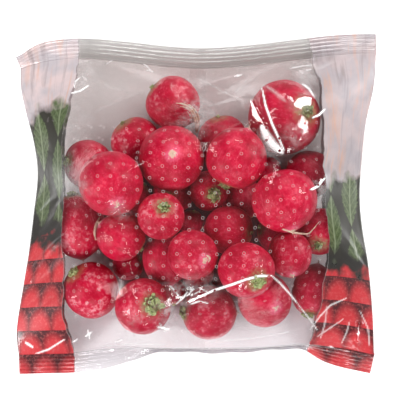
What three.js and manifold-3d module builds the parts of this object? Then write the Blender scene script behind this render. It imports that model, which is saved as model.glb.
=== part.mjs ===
// A sealed pillow bag of loose radishes, lying on its back.
// One clear film tube, crimped shut at the top and the bottom, holds 34 trimmed radishes in two rough layers.
// +X runs across the bag, +Y towards its top seal and +Z up from the surface that it lies on.
// Sizes are in millimetres.
import * as THREE from "three";
import { mergeVertices } from "three/addons/utils/BufferGeometryUtils.js";
import Module from "manifold-3d";

const wasm = await Module();
wasm.setup();

// The photograph gives places in pixels, and its scale gives their real size.
const MM_PER_PIXEL = 0.54;
const MIDDLE_PIXEL = { x: 196, y: 206 };

// The film. A wall of 0.7 mm stands in for the real 0.04 mm.
const WALL = 0.7;
const SEAL_DEPTH = 10.5; // of each crimped seal
const SEAL_ROOT = 2; // how far a seal runs in under the end of the bag's body
const SEAL_RIBS = 5;
const SEAL_HALF = 0.65; // half the thickness of a seal between its ribs
const RIB_RISE = 0.4;
const SEAL_COLUMNS = 16;
const CURLED_DOWN = 60; // degrees that the middle of the bottom seal is turned under the bag
const CURLED_UP = 50; // degrees that the top seal's left corner stands up
const CELLS_ACROSS = 26;
const CELLS_ALONG = 24;
const CORNER_HEIGHT = 3.2; // of the folded edge above the surface
const TOP_CROWN = 2.5; // how much higher the middle of the top seal is than its corners
const BOTTOM_CROWN = 9.3; // the same for the bottom seal
const SIDE_CROWN = 11; // the same for the side folds
const FILM_CLEARANCE = 2.1; // from a radish to the outside of the film at a corner of the mesh
const FLANK_CLEARANCE = 3.2; // how far the film keeps off a radish's steep flank
const AIR_LIFT = 0.1; // the air inside swells the front a little at each cell
const HOLE_RADIUS = 0.6;
const HOLE_COLUMNS = 6;
const HOLE_ROWS = 5;

// The radishes.
const RADISH_GAP = 0.35; // left between neighbours
const RADISH_SIDES = 10;
const TAIL_BEND = 0.12; // how far a tail's tip leans, as a share of its length
const STUB_SHARE = 0.25; // the trimmed leaf stalks' width, as a share of the radish's
const SETTLE_STEPS = 900;
const MOST_DRIFT = 1.4; // how far a radish may end up from where it is seen

// Where each radish shows in the photograph, its real width, the layer that it lies in, where its crown of
// trimmed stalks points, its length over its width, and how much of its tail root is left.
const RADISHES = [
  { seen: [174, 103], width: 30, layer: 0, crown: [-0.6, 0.45, 0.1], long: 1.0, tail: 4 },
  { seen: [171, 160], width: 36, layer: 1, crown: [-0.05, -0.12, -1], long: 0.97, tail: 1.5 },
  { seen: [138, 143], width: 28, layer: 0, crown: [-0.5, 0.7, 0.3], long: 1.0, tail: 2 },
  { seen: [86, 166], width: 27, layer: 0, crown: [-0.85, 0.1, 0.45], long: 1.0, tail: 2 },
  { seen: [113, 187], width: 35, layer: 1, crown: [-0.2, 0.62, -0.75], long: 1.0, tail: 1.5 },
  { seen: [284, 117], width: 41, layer: 0, crown: [0.66, 0.2, 0.72], long: 0.95, tail: 2 },
  { seen: [237, 160], width: 33, layer: 1, crown: [-0.35, -0.85, 0.0], long: 1.02, tail: 3 },
  { seen: [223, 140], width: 28, layer: 0, crown: [-0.2, 0.95, 0.25], long: 1.0, tail: 2 },
  { seen: [209, 193], width: 22, layer: 0, crown: [0.28, -0.2, 0.95], long: 1.0, tail: 1.5 },
  { seen: [240, 198], width: 24, layer: 0, crown: [0.2, -0.9, 0.1], long: 1.0, tail: 2 },
  { seen: [284, 204], width: 36, layer: 1, crown: [-0.2, 0.85, -0.3], long: 0.94, tail: 6 },
  { seen: [311, 173], width: 26, layer: 0, crown: [0.6, -0.3, 0.2], long: 1.05, tail: 2 },
  { seen: [160, 219], width: 25.5, layer: 1, crown: [0.15, 0.42, 0.88], long: 1.0, tail: 2 },
  { seen: [123, 235], width: 27, layer: 0.6, crown: [0.8, -0.5, -0.1], long: 1.0, tail: 6 },
  { seen: [78, 229], width: 31, layer: 0, crown: [-0.15, 0.98, 0.1], long: 1.18, tail: 2 },
  { seen: [90, 289], width: 31, layer: 0, crown: [-0.62, 0.66, 0.42], long: 1.02, tail: 2 },
  { seen: [144, 304], width: 31, layer: 0, crown: [0.36, 0.1, 0.92], long: 1.0, tail: 2 },
  { seen: [194, 252], width: 27.5, layer: 1, crown: [-0.45, 0.2, -0.85], long: 1.0, tail: 1.5 },
  { seen: [164, 264], width: 24, layer: 0, crown: [-0.22, 0.96, 0.05], long: 1.2, tail: 4 },
  { seen: [210, 311], width: 30, layer: 0, crown: [-0.97, 0.02, 0.2], long: 1.0, tail: 2 },
  { seen: [246, 266], width: 30.5, layer: 0.8, crown: [0.42, -0.4, 0.81], long: 1.0, tail: 2 },
  { seen: [268, 302], width: 30, layer: 0, crown: [-0.32, 0.2, -0.75], long: 0.95, tail: 1.5 },
  { seen: [290, 252], width: 24, layer: 1, crown: [-0.1, 0.8, -0.5], long: 1.06, tail: 2 },
  { seen: [312, 291], width: 23, layer: 0, crown: [-0.2, -0.94, 0.3], long: 1.3, tail: 2 },
  { seen: [318, 232], width: 25, layer: 0, crown: [-0.1, -0.6, 0.8], long: 1.05, tail: 2 },
  { seen: [195, 276], width: 18, layer: 0, crown: [0.7, 0.5, 0.4], long: 1.0, tail: 1.5 },
  { seen: [227, 228], width: 27, layer: 0, crown: [0.9, -0.1, 0.3], long: 1.0, tail: 1.5 },
  { seen: [131, 198], width: 23, layer: 0, crown: [0.75, 0.6, 0.2], long: 1.0, tail: 1.5 },
  { seen: [176, 192], width: 23, layer: 0, crown: [-0.3, -0.2, 0.9], long: 1.0, tail: 1.5 },
  { seen: [284, 232], width: 25, layer: 0, crown: [-0.9, 0.2, 0.3], long: 1.0, tail: 1.5 },
  { seen: [191, 223], width: 14, layer: 0, crown: [0.2, 0.9, 0.3], long: 1.0, tail: 1.5 },
  { seen: [128, 266], width: 17, layer: 0, crown: [0.8, 0.4, 0.2], long: 1.0, tail: 1.5 },
  { seen: [267, 172], width: 16, layer: 0, crown: [-0.3, 0.9, -0.2], long: 1.0, tail: 1.5 },
  { seen: [174, 291], width: 15, layer: 0, crown: [0.1, -0.9, 0.2], long: 1.0, tail: 1.5 },
];

// The four edges of the bag's body between its seals, as the photograph shows them. Each runs from left to right
// or from bottom to top.
const BOTTOM_EDGE = [
  [15, 358], [42, 357], [72, 356], [100, 353], [135, 351], [170, 351], [210, 351], [262, 350], [308, 347],
  [345, 351], [378, 358],
];
const TOP_EDGE = [
  [17, 66], [35, 60], [58, 56], [85, 55], [120, 58], [165, 63], [205, 65], [250, 62], [300, 56], [345, 51],
  [380, 50],
];
const LEFT_EDGE = [
  [15, 358], [13, 335], [19, 295], [26, 255], [31, 215], [35, 175], [31, 142], [23, 112], [17, 85], [17, 66],
];
const RIGHT_EDGE = [
  [378, 358], [376, 315], [371, 265], [364, 225], [362, 195], [365, 155], [369, 120], [377, 85], [380, 50],
];

const fromPixel = ([x, y]) =>
  new THREE.Vector2((x - MIDDLE_PIXEL.x) * MM_PER_PIXEL, (MIDDLE_PIXEL.y - y) * MM_PER_PIXEL);
const edgeCurve = (pixels) => new THREE.SplineCurve(pixels.map(fromPixel));
const EDGES = {
  bottom: edgeCurve(BOTTOM_EDGE),
  top: edgeCurve(TOP_EDGE),
  left: edgeCurve(LEFT_EDGE),
  right: edgeCurve(RIGHT_EDGE),
};

// The place over the surface of the bag's point (across, along), both from 0 to 1, blended from its four edges.
function placeOf(across, along) {
  const bottom = EDGES.bottom.getPointAt(across);
  const top = EDGES.top.getPointAt(across);
  const left = EDGES.left.getPointAt(along);
  const right = EDGES.right.getPointAt(along);
  const corner = (edge, end) => edge.getPointAt(end);
  const blend = (axis) =>
    (1 - along) * bottom[axis] +
    along * top[axis] +
    (1 - across) * left[axis] +
    across * right[axis] -
    (1 - along) * ((1 - across) * corner(EDGES.bottom, 0)[axis] + across * corner(EDGES.bottom, 1)[axis]) -
    along * ((1 - across) * corner(EDGES.top, 0)[axis] + across * corner(EDGES.top, 1)[axis]);
  return new THREE.Vector2(blend("x"), blend("y"));
}

// The height at which the front and the back of the film meet, round the outline of the bag's body.
function edgeHeight(across, along) {
  const arch = Math.sin(Math.PI * across);
  const ends = BOTTOM_CROWN * arch ** 0.8 * (1 - along) ** 6 + TOP_CROWN * arch * along ** 6;
  const side = SIDE_CROWN * Math.sin(Math.PI * along) ** 1.3 * Math.abs(2 * across - 1) ** 4;
  return CORNER_HEIGHT + ends + side;
}

// Each radish as the balls that it keeps clear of its neighbours and of the film: its body, drawn out if it is
// long, its stub of stalks and its tail.
function ballsOf(radish) {
  const radius = radish.width / 2;
  const reach = radius * (radish.long - 1);
  const crown = radish.direction;
  const at = (distance) => radish.centre.clone().addScaledVector(crown, distance);
  const balls = [{ centre: at(0), radius }];
  if (reach > 1) balls.push({ centre: at(reach), radius }, { centre: at(-reach), radius });
  const tip = radius * radish.long;
  balls.push({ centre: at(tip + 0.6), radius: radius * STUB_SHARE * 1.15 });
  balls.push({ centre: at(-tip - radish.tail * 0.4), radius: 1 });
  balls.push({ centre: at(-tip - radish.tail), radius: 0.8 });
  return balls;
}

// Lets the radishes sink towards the surface, each near where it is seen, and pushes apart those that meet.
function settle() {
  const settled = RADISHES.map((radish) => {
    const seen = fromPixel(radish.seen);
    return {
      ...radish,
      home: seen,
      centre: new THREE.Vector3(seen.x, seen.y, radish.width / 2 + 27 * radish.layer),
      direction: new THREE.Vector3(...radish.crown).normalize(),
    };
  });
  const apart = new THREE.Vector3();
  for (let step = 0; step < SETTLE_STEPS; step += 1) {
    const sinking = step < SETTLE_STEPS * 0.7;
    for (const radish of settled) {
      if (sinking) radish.centre.z -= 0.12;
      radish.centre.x += (radish.home.x - radish.centre.x) * (sinking ? 0.03 : 0);
      radish.centre.y += (radish.home.y - radish.centre.y) * (sinking ? 0.03 : 0);
    }
    const balls = settled.map(ballsOf);
    settled.forEach((radish, i) => {
      for (let j = i + 1; j < settled.length; j += 1) {
        for (const a of balls[i]) {
          for (const b of balls[j]) {
            apart.subVectors(a.centre, b.centre);
            const short = a.radius + b.radius + RADISH_GAP - apart.length();
            if (short <= 0) continue;
            apart.setLength(short / 2);
            apart.x *= 0.35;
            apart.y *= 0.35;
            for (const [mover, sign, own] of [[radish, 1, balls[i]], [settled[j], -1, balls[j]]]) {
              mover.centre.addScaledVector(apart, sign);
              for (const ball of own) ball.centre.addScaledVector(apart, sign);
            }
          }
        }
      }
    });
    for (const radish of settled) {
      const drift = new THREE.Vector2(radish.centre.x, radish.centre.y).sub(radish.home).clampLength(0, MOST_DRIFT);
      radish.centre.x = radish.home.x + drift.x;
      radish.centre.y = radish.home.y + drift.y;
      const lowest = Math.min(...ballsOf(radish).map((ball) => ball.centre.z - ball.radius));
      radish.centre.z += Math.max(0, WALL + RADISH_GAP + 0.3 - lowest);
    }
  }
  return settled;
}

// One radish: a round body that pinches in to its tail root, and a low star of trimmed leaf stalks on its crown.
function radishGeometry({ width, long, tail }) {
  const radius = width / 2;
  const tip = radius * long;
  const stub = radius * STUB_SHARE;
  const profile = [
    [0, -tip - tail],
    [0.45, -tip - tail * 0.55],
    [radius * 0.1, -tip * 0.985],
    [radius * 0.36, -tip * 0.92],
    [radius * 0.72, -tip * 0.69],
    [radius * 0.95, -tip * 0.31],
    [radius, tip * 0.08],
    [radius * 0.9, tip * 0.43],
    [radius * 0.66, tip * 0.75],
    [radius * 0.36, tip * 0.92],
    [stub, tip * 0.95],
    [stub * 1.05, tip + 1.6],
    [0, tip + 1.3],
  ].map(([x, y]) => new THREE.Vector2(x, y));
  const lathe = new THREE.LatheGeometry(profile, RADISH_SIDES);
  const places = lathe.attributes.position;
  for (let i = 0; i < places.count; i += 1) {
    const [x, y, z] = [places.getX(i), places.getY(i), places.getZ(i)];
    const turn = Math.atan2(z, x);
    const lobe = y > tip * 0.94 ? 1 + 0.28 * Math.cos((RADISH_SIDES / 2) * turn) : 1;
    const down = Math.max(0, (-tip - y) / tail);
    places.setXYZ(i, x * lobe + down * down * TAIL_BEND * tail, y, z * lobe);
  }
  lathe.rotateX(Math.PI / 2);
  return bareGeometry(lathe);
}

// A geometry that keeps only its places, with shared corners merged.
function bareGeometry(geometry) {
  const bare = new THREE.BufferGeometry().setAttribute("position", geometry.attributes.position);
  if (geometry.index) bare.setIndex(geometry.index);
  return mergeVertices(bare, 1e-3);
}

function toSolid(geometry) {
  const merged = bareGeometry(geometry);
  return new wasm.Manifold(
    new wasm.Mesh({
      numProp: 3,
      vertProperties: merged.attributes.position.array,
      triVerts: new Uint32Array(merged.index.array),
    }),
  );
}

function toGeometry(solid) {
  const mesh = solid.getMesh();
  const places = new Float32Array(mesh.vertProperties);
  return new THREE.BufferGeometry()
    .setAttribute("position", new THREE.BufferAttribute(places, 3))
    .setIndex(new THREE.BufferAttribute(new Uint32Array(mesh.triVerts), 1));
}

// A closed body between a top and a bottom skin, each a function that gives a point of the grid. Where the two
// skins have the same points at the rim they meet in one edge.
function betweenSkins(columns, rows, topAt, bottomAt) {
  const places = [];
  for (const skinAt of [topAt, bottomAt]) {
    for (let j = 0; j <= rows; j += 1) {
      for (let i = 0; i <= columns; i += 1) {
        const { x, y, z } = skinAt(i, j);
        places.push(x, y, z);
      }
    }
  }
  const stride = columns + 1;
  const skin = stride * (rows + 1);
  const faces = [];
  for (let j = 0; j < rows; j += 1) {
    for (let i = 0; i < columns; i += 1) {
      const a = j * stride + i;
      const [b, c, d] = [a + 1, a + 1 + stride, a + stride];
      faces.push(a, b, c, a, c, d);
      faces.push(skin + a, skin + c, skin + b, skin + a, skin + d, skin + c);
    }
  }
  const rim = [];
  for (let i = 0; i < columns; i += 1) rim.push(i);
  for (let j = 0; j < rows; j += 1) rim.push(j * stride + columns);
  for (let i = columns; i > 0; i -= 1) rim.push(rows * stride + i);
  for (let j = rows; j > 0; j -= 1) rim.push(j * stride);
  const pointOf = (n) => new THREE.Vector3(...places.slice(3 * n, 3 * n + 3));
  const open = (n) => pointOf(n).distanceTo(pointOf(n + skin)) > 1e-6;
  rim.forEach((a, k) => {
    const b = rim[(k + 1) % rim.length];
    if (open(a) || open(b)) faces.push(a, skin + a, skin + b, a, skin + b, b);
  });
  const geometry = new THREE.BufferGeometry()
    .setAttribute("position", new THREE.Float32BufferAttribute(places, 3))
    .setIndex(faces);
  return toSolid(geometry);
}

// The film's outside: its front stretched over the radishes and swollen by the air, and its back lying on the
// surface. The two are grids of heights that meet at the folded sides and at the seals.
function filmHeights(radishes) {
  const cells = [];
  const balls = radishes.flatMap(ballsOf);
  for (let j = 0; j <= CELLS_ALONG; j += 1) {
    for (let i = 0; i <= CELLS_ACROSS; i += 1) {
      const [across, along] = [i / CELLS_ACROSS, j / CELLS_ALONG];
      const place = placeOf(across, along);
      let over = 0;
      let under = 1000;
      for (const { centre, radius } of balls) {
        const off = Math.hypot(place.x - centre.x, place.y - centre.y);
        const near = Math.max(0, off - FLANK_CLEARANCE);
        const reach = radius + FILM_CLEARANCE;
        if (near >= reach) continue;
        const rise = Math.sqrt(reach * reach - near * near);
        over = Math.max(over, centre.z + rise);
        under = Math.min(under, centre.z - rise);
      }
      const rim = i === 0 || j === 0 || i === CELLS_ACROSS || j === CELLS_ALONG;
      const edge = edgeHeight(across, along);
      cells.push({ place, over, under, rim, front: edge, back: rim ? edge : 0 });
    }
  }
  const at = (i, j) => cells[j * (CELLS_ACROSS + 1) + i];
  for (let pass = 0; pass < 500; pass += 1) {
    for (let j = 1; j < CELLS_ALONG; j += 1) {
      for (let i = 1; i < CELLS_ACROSS; i += 1) {
        const cell = at(i, j);
        const around = [at(i - 1, j), at(i + 1, j), at(i, j - 1), at(i, j + 1)];
        const mean = (side) => around.reduce((sum, other) => sum + other[side], 0) / around.length;
        cell.front = Math.max(cell.over, mean("front") + AIR_LIFT);
        cell.back = Math.min(Math.max(0, cell.under), Math.max(0, mean("back") - 0.45));
      }
    }
  }
  return at;
}

// The film as one closed shell: the outside, less the space inside it and the vent holes, plus the ribbed seals.
function filmSolid(radishes) {
  const at = filmHeights(radishes);
  const outsideAt = (side) => (i, j) => new THREE.Vector3(...at(i, j).place.toArray(), at(i, j)[side]);
  const outside = betweenSkins(CELLS_ACROSS, CELLS_ALONG, outsideAt("front"), outsideAt("back"));
  const inset = 0.3; // of a cell, at the rim
  const isRim = (i, j) => at(i, j).rim;
  const drawIn = (n, cells) => Math.min(Math.max(n, inset), cells - inset);
  const mix = (i, j, read) => {
    const [u, v] = [drawIn(i, CELLS_ACROSS), drawIn(j, CELLS_ALONG)];
    const [a, b] = [Math.min(Math.floor(u), CELLS_ACROSS - 1), Math.min(Math.floor(v), CELLS_ALONG - 1)];
    const [p, q] = [u - a, v - b];
    return (
      (1 - p) * (1 - q) * read(at(a, b)) +
      p * (1 - q) * read(at(a + 1, b)) +
      (1 - p) * q * read(at(a, b + 1)) +
      p * q * read(at(a + 1, b + 1))
    );
  };
  const wallAt = (i, j, side) => {
    const [west, east, south, north] = [at(i - 1, j), at(i + 1, j), at(i, j - 1), at(i, j + 1)];
    const slopeX = (east[side] - west[side]) / (east.place.x - west.place.x);
    const slopeY = (north[side] - south[side]) / (north.place.y - south.place.y);
    return WALL * Math.min(2.2, Math.hypot(1, slopeX, slopeY));
  };
  const middleOf = (i, j) => mix(i, j, (cell) => (cell.front + cell.back) / 2);
  const insideTop = (i, j) => (isRim(i, j) ? middleOf(i, j) : at(i, j).front - wallAt(i, j, "front"));
  const insideBottom = (i, j) => (isRim(i, j) ? middleOf(i, j) : at(i, j).back + wallAt(i, j, "back"));
  const insideAt = (height) => (i, j) =>
    new THREE.Vector3(mix(i, j, (cell) => cell.place.x), mix(i, j, (cell) => cell.place.y), height(i, j));
  const space = betweenSkins(CELLS_ACROSS, CELLS_ALONG, insideAt(insideTop), insideAt(insideBottom));
  const welded = [sealSolid("bottom"), sealSolid("top")].reduce((film, seal) => film.add(seal), outside);
  return [...ventHoles(at), space].reduce((film, cutter) => film.subtract(cutter), welded);
}

// How far a seal is turned out of the level at a point across the bag, in radians, upwards if positive.
function sealTurn(end, across) {
  const degrees = THREE.MathUtils.degToRad(1);
  if (end === "top") return CURLED_UP * degrees * Math.exp(-((across / 0.07) ** 2));
  const under = THREE.MathUtils.smoothstep(across, 0.16, 0.42) * (1 - THREE.MathUtils.smoothstep(across, 0.76, 0.86));
  return -CURLED_DOWN * degrees * under;
}

// One crimped seal: both layers welded into a strip with five ribs along it, on its front and its back.
function sealSolid(end) {
  const rows = SEAL_RIBS * 2 + 1;
  const outward = end === "top" ? 1 : -1;
  const pointAt = (i, j) => {
    const across = i / SEAL_COLUMNS;
    const along = end === "top" ? 1 : 0;
    const tangent = EDGES[end].getTangentAt(across);
    const out = new THREE.Vector3(-tangent.y, tangent.x, 0).multiplyScalar(outward);
    const turn = sealTurn(end, across);
    const direction = out.multiplyScalar(Math.cos(turn)).add(new THREE.Vector3(0, 0, Math.sin(turn)));
    const root = new THREE.Vector3(...placeOf(across, along).toArray(), edgeHeight(across, along));
    const row = end === "top" ? j : rows - j;
    const point = root.addScaledVector(direction, -SEAL_ROOT + ((SEAL_DEPTH + SEAL_ROOT) * row) / rows);
    const half = SEAL_HALF + (row % 2 ? RIB_RISE : 0);
    const face = new THREE.Vector3(0, 0, Math.cos(turn)).addScaledVector(out.normalize(), -Math.sin(turn));
    return { point, face: face.normalize().multiplyScalar(half) };
  };
  const skinAt = (sign) => (i, j) => {
    const { point, face } = pointAt(i, j);
    return point.addScaledVector(face, sign);
  };
  return betweenSkins(SEAL_COLUMNS, rows, skinAt(1), skinAt(-1));
}

// Some of the vent holes that are punched through the front in a regular grid.
function ventHoles(at) {
  const holes = [];
  for (let row = 0; row < HOLE_ROWS; row += 1) {
    for (let column = 0; column < HOLE_COLUMNS; column += 1) {
      const i = Math.round(CELLS_ACROSS * (0.24 + (0.52 * column) / (HOLE_COLUMNS - 1)));
      const j = Math.round(CELLS_ALONG * (0.2 + (0.54 * row) / (HOLE_ROWS - 1)));
      const [cell, next] = [at(i, j), at(i + 1, j)];
      const pin = new THREE.CylinderGeometry(HOLE_RADIUS, HOLE_RADIUS, 6, 6).rotateX(Math.PI / 2);
      const x = (2 * cell.place.x + next.place.x) / 3;
      const y = (2 * cell.place.y + next.place.y) / 3 + 0.8;
      pin.translate(x, y, (2 * cell.front + next.front) / 3);
      holes.push(toSolid(pin));
    }
  }
  return holes;
}

const FILM_FINISH = new THREE.MeshStandardMaterial({
  name: "film",
  color: 0xd8d2d2,
  roughness: 0.15,
  metalness: 0,
  transparent: true,
  opacity: 0.35,
});
const RADISH_FINISH = new THREE.MeshStandardMaterial({
  name: "radish_skin",
  color: 0xc03850,
  roughness: 0.45,
  metalness: 0,
});

const bag = new THREE.Group();
const radishes = settle();
radishes.forEach((radish, n) => {
  const mesh = new THREE.Mesh(radishGeometry(radish), RADISH_FINISH);
  mesh.name = `radish_${String(n + 1).padStart(2, "0")}`;
  mesh.position.copy(radish.centre);
  mesh.quaternion.setFromUnitVectors(new THREE.Vector3(0, 0, 1), radish.direction);
  bag.add(mesh);
});
const film = new THREE.Mesh(toGeometry(filmSolid(radishes)), FILM_FINISH);
film.name = "film_bag";
bag.add(film);

// The origin is under the middle of the bag, on the surface.
film.geometry.computeBoundingBox();
const { min, max } = film.geometry.boundingBox;
bag.position.set(-(min.x + max.x) / 2, -(min.y + max.y) / 2, -min.z);

export default bag;
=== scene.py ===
"""The looks of a sealed pillow bag of loose radishes, lying on its back."""
import math
import random

import bmesh
import bpy
import numpy as np
from mathutils import Matrix, Vector
from mathutils.bvhtree import BVHTree


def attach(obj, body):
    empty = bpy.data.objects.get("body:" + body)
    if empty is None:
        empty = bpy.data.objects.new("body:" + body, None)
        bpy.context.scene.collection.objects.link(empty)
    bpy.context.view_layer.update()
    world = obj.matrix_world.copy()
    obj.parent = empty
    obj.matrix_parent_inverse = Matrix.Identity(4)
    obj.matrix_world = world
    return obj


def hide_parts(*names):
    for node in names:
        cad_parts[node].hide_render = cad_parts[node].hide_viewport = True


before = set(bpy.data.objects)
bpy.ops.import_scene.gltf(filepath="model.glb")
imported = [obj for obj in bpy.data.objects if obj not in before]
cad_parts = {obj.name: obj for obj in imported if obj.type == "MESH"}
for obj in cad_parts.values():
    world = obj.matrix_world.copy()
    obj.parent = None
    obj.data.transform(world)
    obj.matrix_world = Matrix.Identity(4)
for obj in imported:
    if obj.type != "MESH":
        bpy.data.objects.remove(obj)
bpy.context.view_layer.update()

# The view. The camera looks straight down on the bag from far enough away that its top and its edges keep
# nearly one scale. Softboxes stand all round, and the bag lies on a white card on a dark table. The card's
# glow round the bag is painted light that lifts the bag's shadows, and under the heap it has a painted
# shadow.
MM = 0.001
MM_PER_PIXEL = 0.54
PHOTO_MIDDLE = (196.27, 204.0)  # the pixel of the photograph over the frame's origin
PICTURE_MIDDLE = (200, 200)
FOCUS_HEIGHT = 32 * MM  # where the scale above is true
LENS = 230  # mm
SENSOR = 36  # mm
PICTURE_WIDTH = 400  # pixels
FAR_SIGHT = 20  # metres that the camera sees
WORLD_COLOUR, WORLD_LIGHT = (1.0, 0.985, 0.975, 1), 0.12
TABLE_SIZE, TABLE_DROP, TABLE_SHADE = 6, 0.6 * MM, 0.10
CARD_SIZE, CARD_DROP, CARD_SHADE = 0.262, 0.2 * MM, 0.93
CARD_GLOW, GLOW_EDGE = 0.45, (0.068, 0.111)  # painted light outside the bag and near its sides, and from where to where it grows
GLOW_SHIFT, GLOW_STRETCH = 0.008, 1.25
HEAP_REACH, HEAP_MIDDLE = (0.063, 0.054), -0.010  # of the radishes' painted shadow on the card, as an oval
# the colour of the painted shadow, dark red for light bounced off the radishes, and where it fades to white
HEAP_PAINTED_SHADOW, HEAP_EDGE = (0.22, 0.07, 0.075), (0.8, 1.05)
LAMPS = {  # place, size and power of each lamp that shows in the film
    "left": ((-1.20, -0.55, 0.62), (0.32, 0.46), 8.0),
    "right": ((1.20, 0.62, 0.58), (0.32, 0.46), 8.0),
    "far": ((0.10, 1.45, 0.72), (0.80, 0.26), 8.5),
    "near": ((0.05, -1.45, 0.80), (0.80, 0.26), 8.5),
}
FILLS = {  # the same of each lamp that only lights
    "left": ((-0.85, -0.30, 1.05), (0.90, 0.90), 10),
    "right": ((0.90, 0.42, 1.00), (0.90, 0.90), 9),
    "far": ((0.10, 1.20, 1.30), (1.40, 0.80), 6.5),
    "near": ((0.05, -1.20, 1.40), (1.40, 0.80), 8),
}


def from_pixel(x, y):
    """The place in metres under a pixel of the photograph."""
    return (x - PHOTO_MIDDLE[0]) * MM_PER_PIXEL * MM, (PHOTO_MIDDLE[1] - y) * MM_PER_PIXEL * MM


def softbox(name, place, size, watts, mirrored=True):
    """A rectangular lamp that faces the bag. One that isn't mirrored lights it but doesn't show in it."""
    bpy.ops.object.light_add(type="AREA", location=place)
    light = bpy.context.object
    light.name = name
    light.data.shape = "RECTANGLE"
    light.data.size, light.data.size_y = size
    light.data.energy = watts
    light.rotation_euler = (Vector((0, 0, FOCUS_HEIGHT)) - Vector(place)).to_track_quat("-Z", "Y").to_euler()
    light.visible_glossy = mirrored


def node_set(material):
    """The material's nodes and a short way to add and link them."""
    material.use_nodes = True
    tree = material.node_tree

    def add(kind, values=(), **settings):
        node = tree.nodes.new(kind)
        for key, value in settings.items():
            setattr(node, key, value)
        for socket, value in dict(values).items():
            if isinstance(value, bpy.types.NodeSocket):
                tree.links.new(value, node.inputs[socket])
            else:
                node.inputs[socket].default_value = value
        return node

    return tree, add


def blend_colours(add, factor, under, over):
    """Colour over colour, by a factor."""
    mix = add("ShaderNodeMix", data_type="RGBA")
    for socket, value in ((0, factor), (6, under), (7, over)):
        if isinstance(value, bpy.types.NodeSocket):
            mix.id_data.links.new(value, mix.inputs[socket])
        else:
            mix.inputs[socket].default_value = value if socket == 0 else (*value, 1)
    return mix.outputs[2]


def ranged(add, value, low, high, to_low=0.0, to_high=1.0, smooth=False):
    """A value carried from one range to another."""
    node = add("ShaderNodeMapRange", {0: value, 1: low, 2: high, 3: to_low, 4: to_high})
    if smooth:
        node.interpolation_type = "SMOOTHSTEP"
    return node.outputs[0]


def maths(add, operation, *values):
    """A sum, product or the like of some values."""
    return add("ShaderNodeMath", dict(enumerate(values)), operation=operation).outputs[0]


def vector_maths(add, operation, *values):
    """The same for places, with the node's outputs."""
    return add("ShaderNodeVectorMath", dict(enumerate(values)), operation=operation).outputs


def matte_material(name, shade):
    """A dull grey or white surface."""
    material = bpy.data.materials.new(name)
    material.use_nodes = True
    shader = material.node_tree.nodes["Principled BSDF"]
    shader.inputs["Base Color"].default_value = (shade, shade, shade, 1)
    shader.inputs["Roughness"].default_value = 0.9
    shader.inputs["Specular IOR Level"].default_value = 0
    shader.inputs["Emission Color"].default_value = (1, 1, 1, 1)
    return material


def card_material():
    """White card with a painted glow outside the bag and near its sides that lifts the bag's shadows, and a
    painted red shadow under the radishes.
    """
    material = matte_material("card", CARD_SHADE)
    tree, add = node_set(material)
    shader = tree.nodes["Principled BSDF"]
    place = add("ShaderNodeTexCoord").outputs["Object"]
    # Painted light: the card glows outside the bag and, stretched across, near its sides, lifting the shadows
    # of the bag and its bands.
    lowered = vector_maths(add, "MULTIPLY_ADD", place, (GLOW_STRETCH, 1, 1), (0, -GLOW_SHIFT, 0))[0]
    x, y, _ = add("ShaderNodeSeparateXYZ", {0: vector_maths(add, "ABSOLUTE", lowered)[0]}).outputs
    glow = ranged(add, maths(add, "MAXIMUM", x, y), *GLOW_EDGE, 0, CARD_GLOW)
    tree.links.new(glow, shader.inputs["Emission Strength"])
    heap_place = vector_maths(add, "DIVIDE", place, (*HEAP_REACH, 1))[0]
    heap_middle = (0, HEAP_MIDDLE / HEAP_REACH[1], 0)
    beyond = vector_maths(add, "DISTANCE", heap_place, heap_middle)["Value"]
    # Painted shadow: the card is dark red under the heap and fades into white at the oval's edge.
    shade = blend_colours(add, ranged(add, beyond, *HEAP_EDGE, smooth=True), HEAP_PAINTED_SHADOW, (CARD_SHADE,) * 3)
    tree.links.new(shade, shader.inputs["Base Color"])
    return material


bpy.ops.object.select_all(action="DESELECT")
camera_height = FOCUS_HEIGHT + PICTURE_WIDTH * MM_PER_PIXEL * MM * LENS / SENSOR
bpy.ops.object.camera_add(location=(*from_pixel(*PICTURE_MIDDLE), camera_height), rotation=(0, 0, 0))
camera = bpy.context.object
camera.data.lens = LENS
camera.data.sensor_width = SENSOR
camera.data.clip_end = FAR_SIGHT
bpy.context.scene.camera = camera

for side, (place, size, watts) in LAMPS.items():
    softbox(f"lamp_{side}", place, size, watts)
for side, (place, size, watts) in FILLS.items():
    softbox(f"fill_{side}", place, size, watts, mirrored=False)

world = bpy.data.worlds.new("studio")
world.use_nodes = True
world.node_tree.nodes["Background"].inputs["Color"].default_value = WORLD_COLOUR
world.node_tree.nodes["Background"].inputs["Strength"].default_value = WORLD_LIGHT
bpy.context.scene.world = world
bpy.context.scene.view_settings.view_transform = "Standard"

for name, size, drop, finish in (
    ("table", TABLE_SIZE, TABLE_DROP, matte_material("table", TABLE_SHADE)),
    ("card", CARD_SIZE, CARD_DROP, card_material()),
):
    bpy.ops.mesh.primitive_plane_add(size=size, location=(0, 0, -drop))
    floor = bpy.context.object
    floor.name = name
    floor.data.materials.append(finish)

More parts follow.
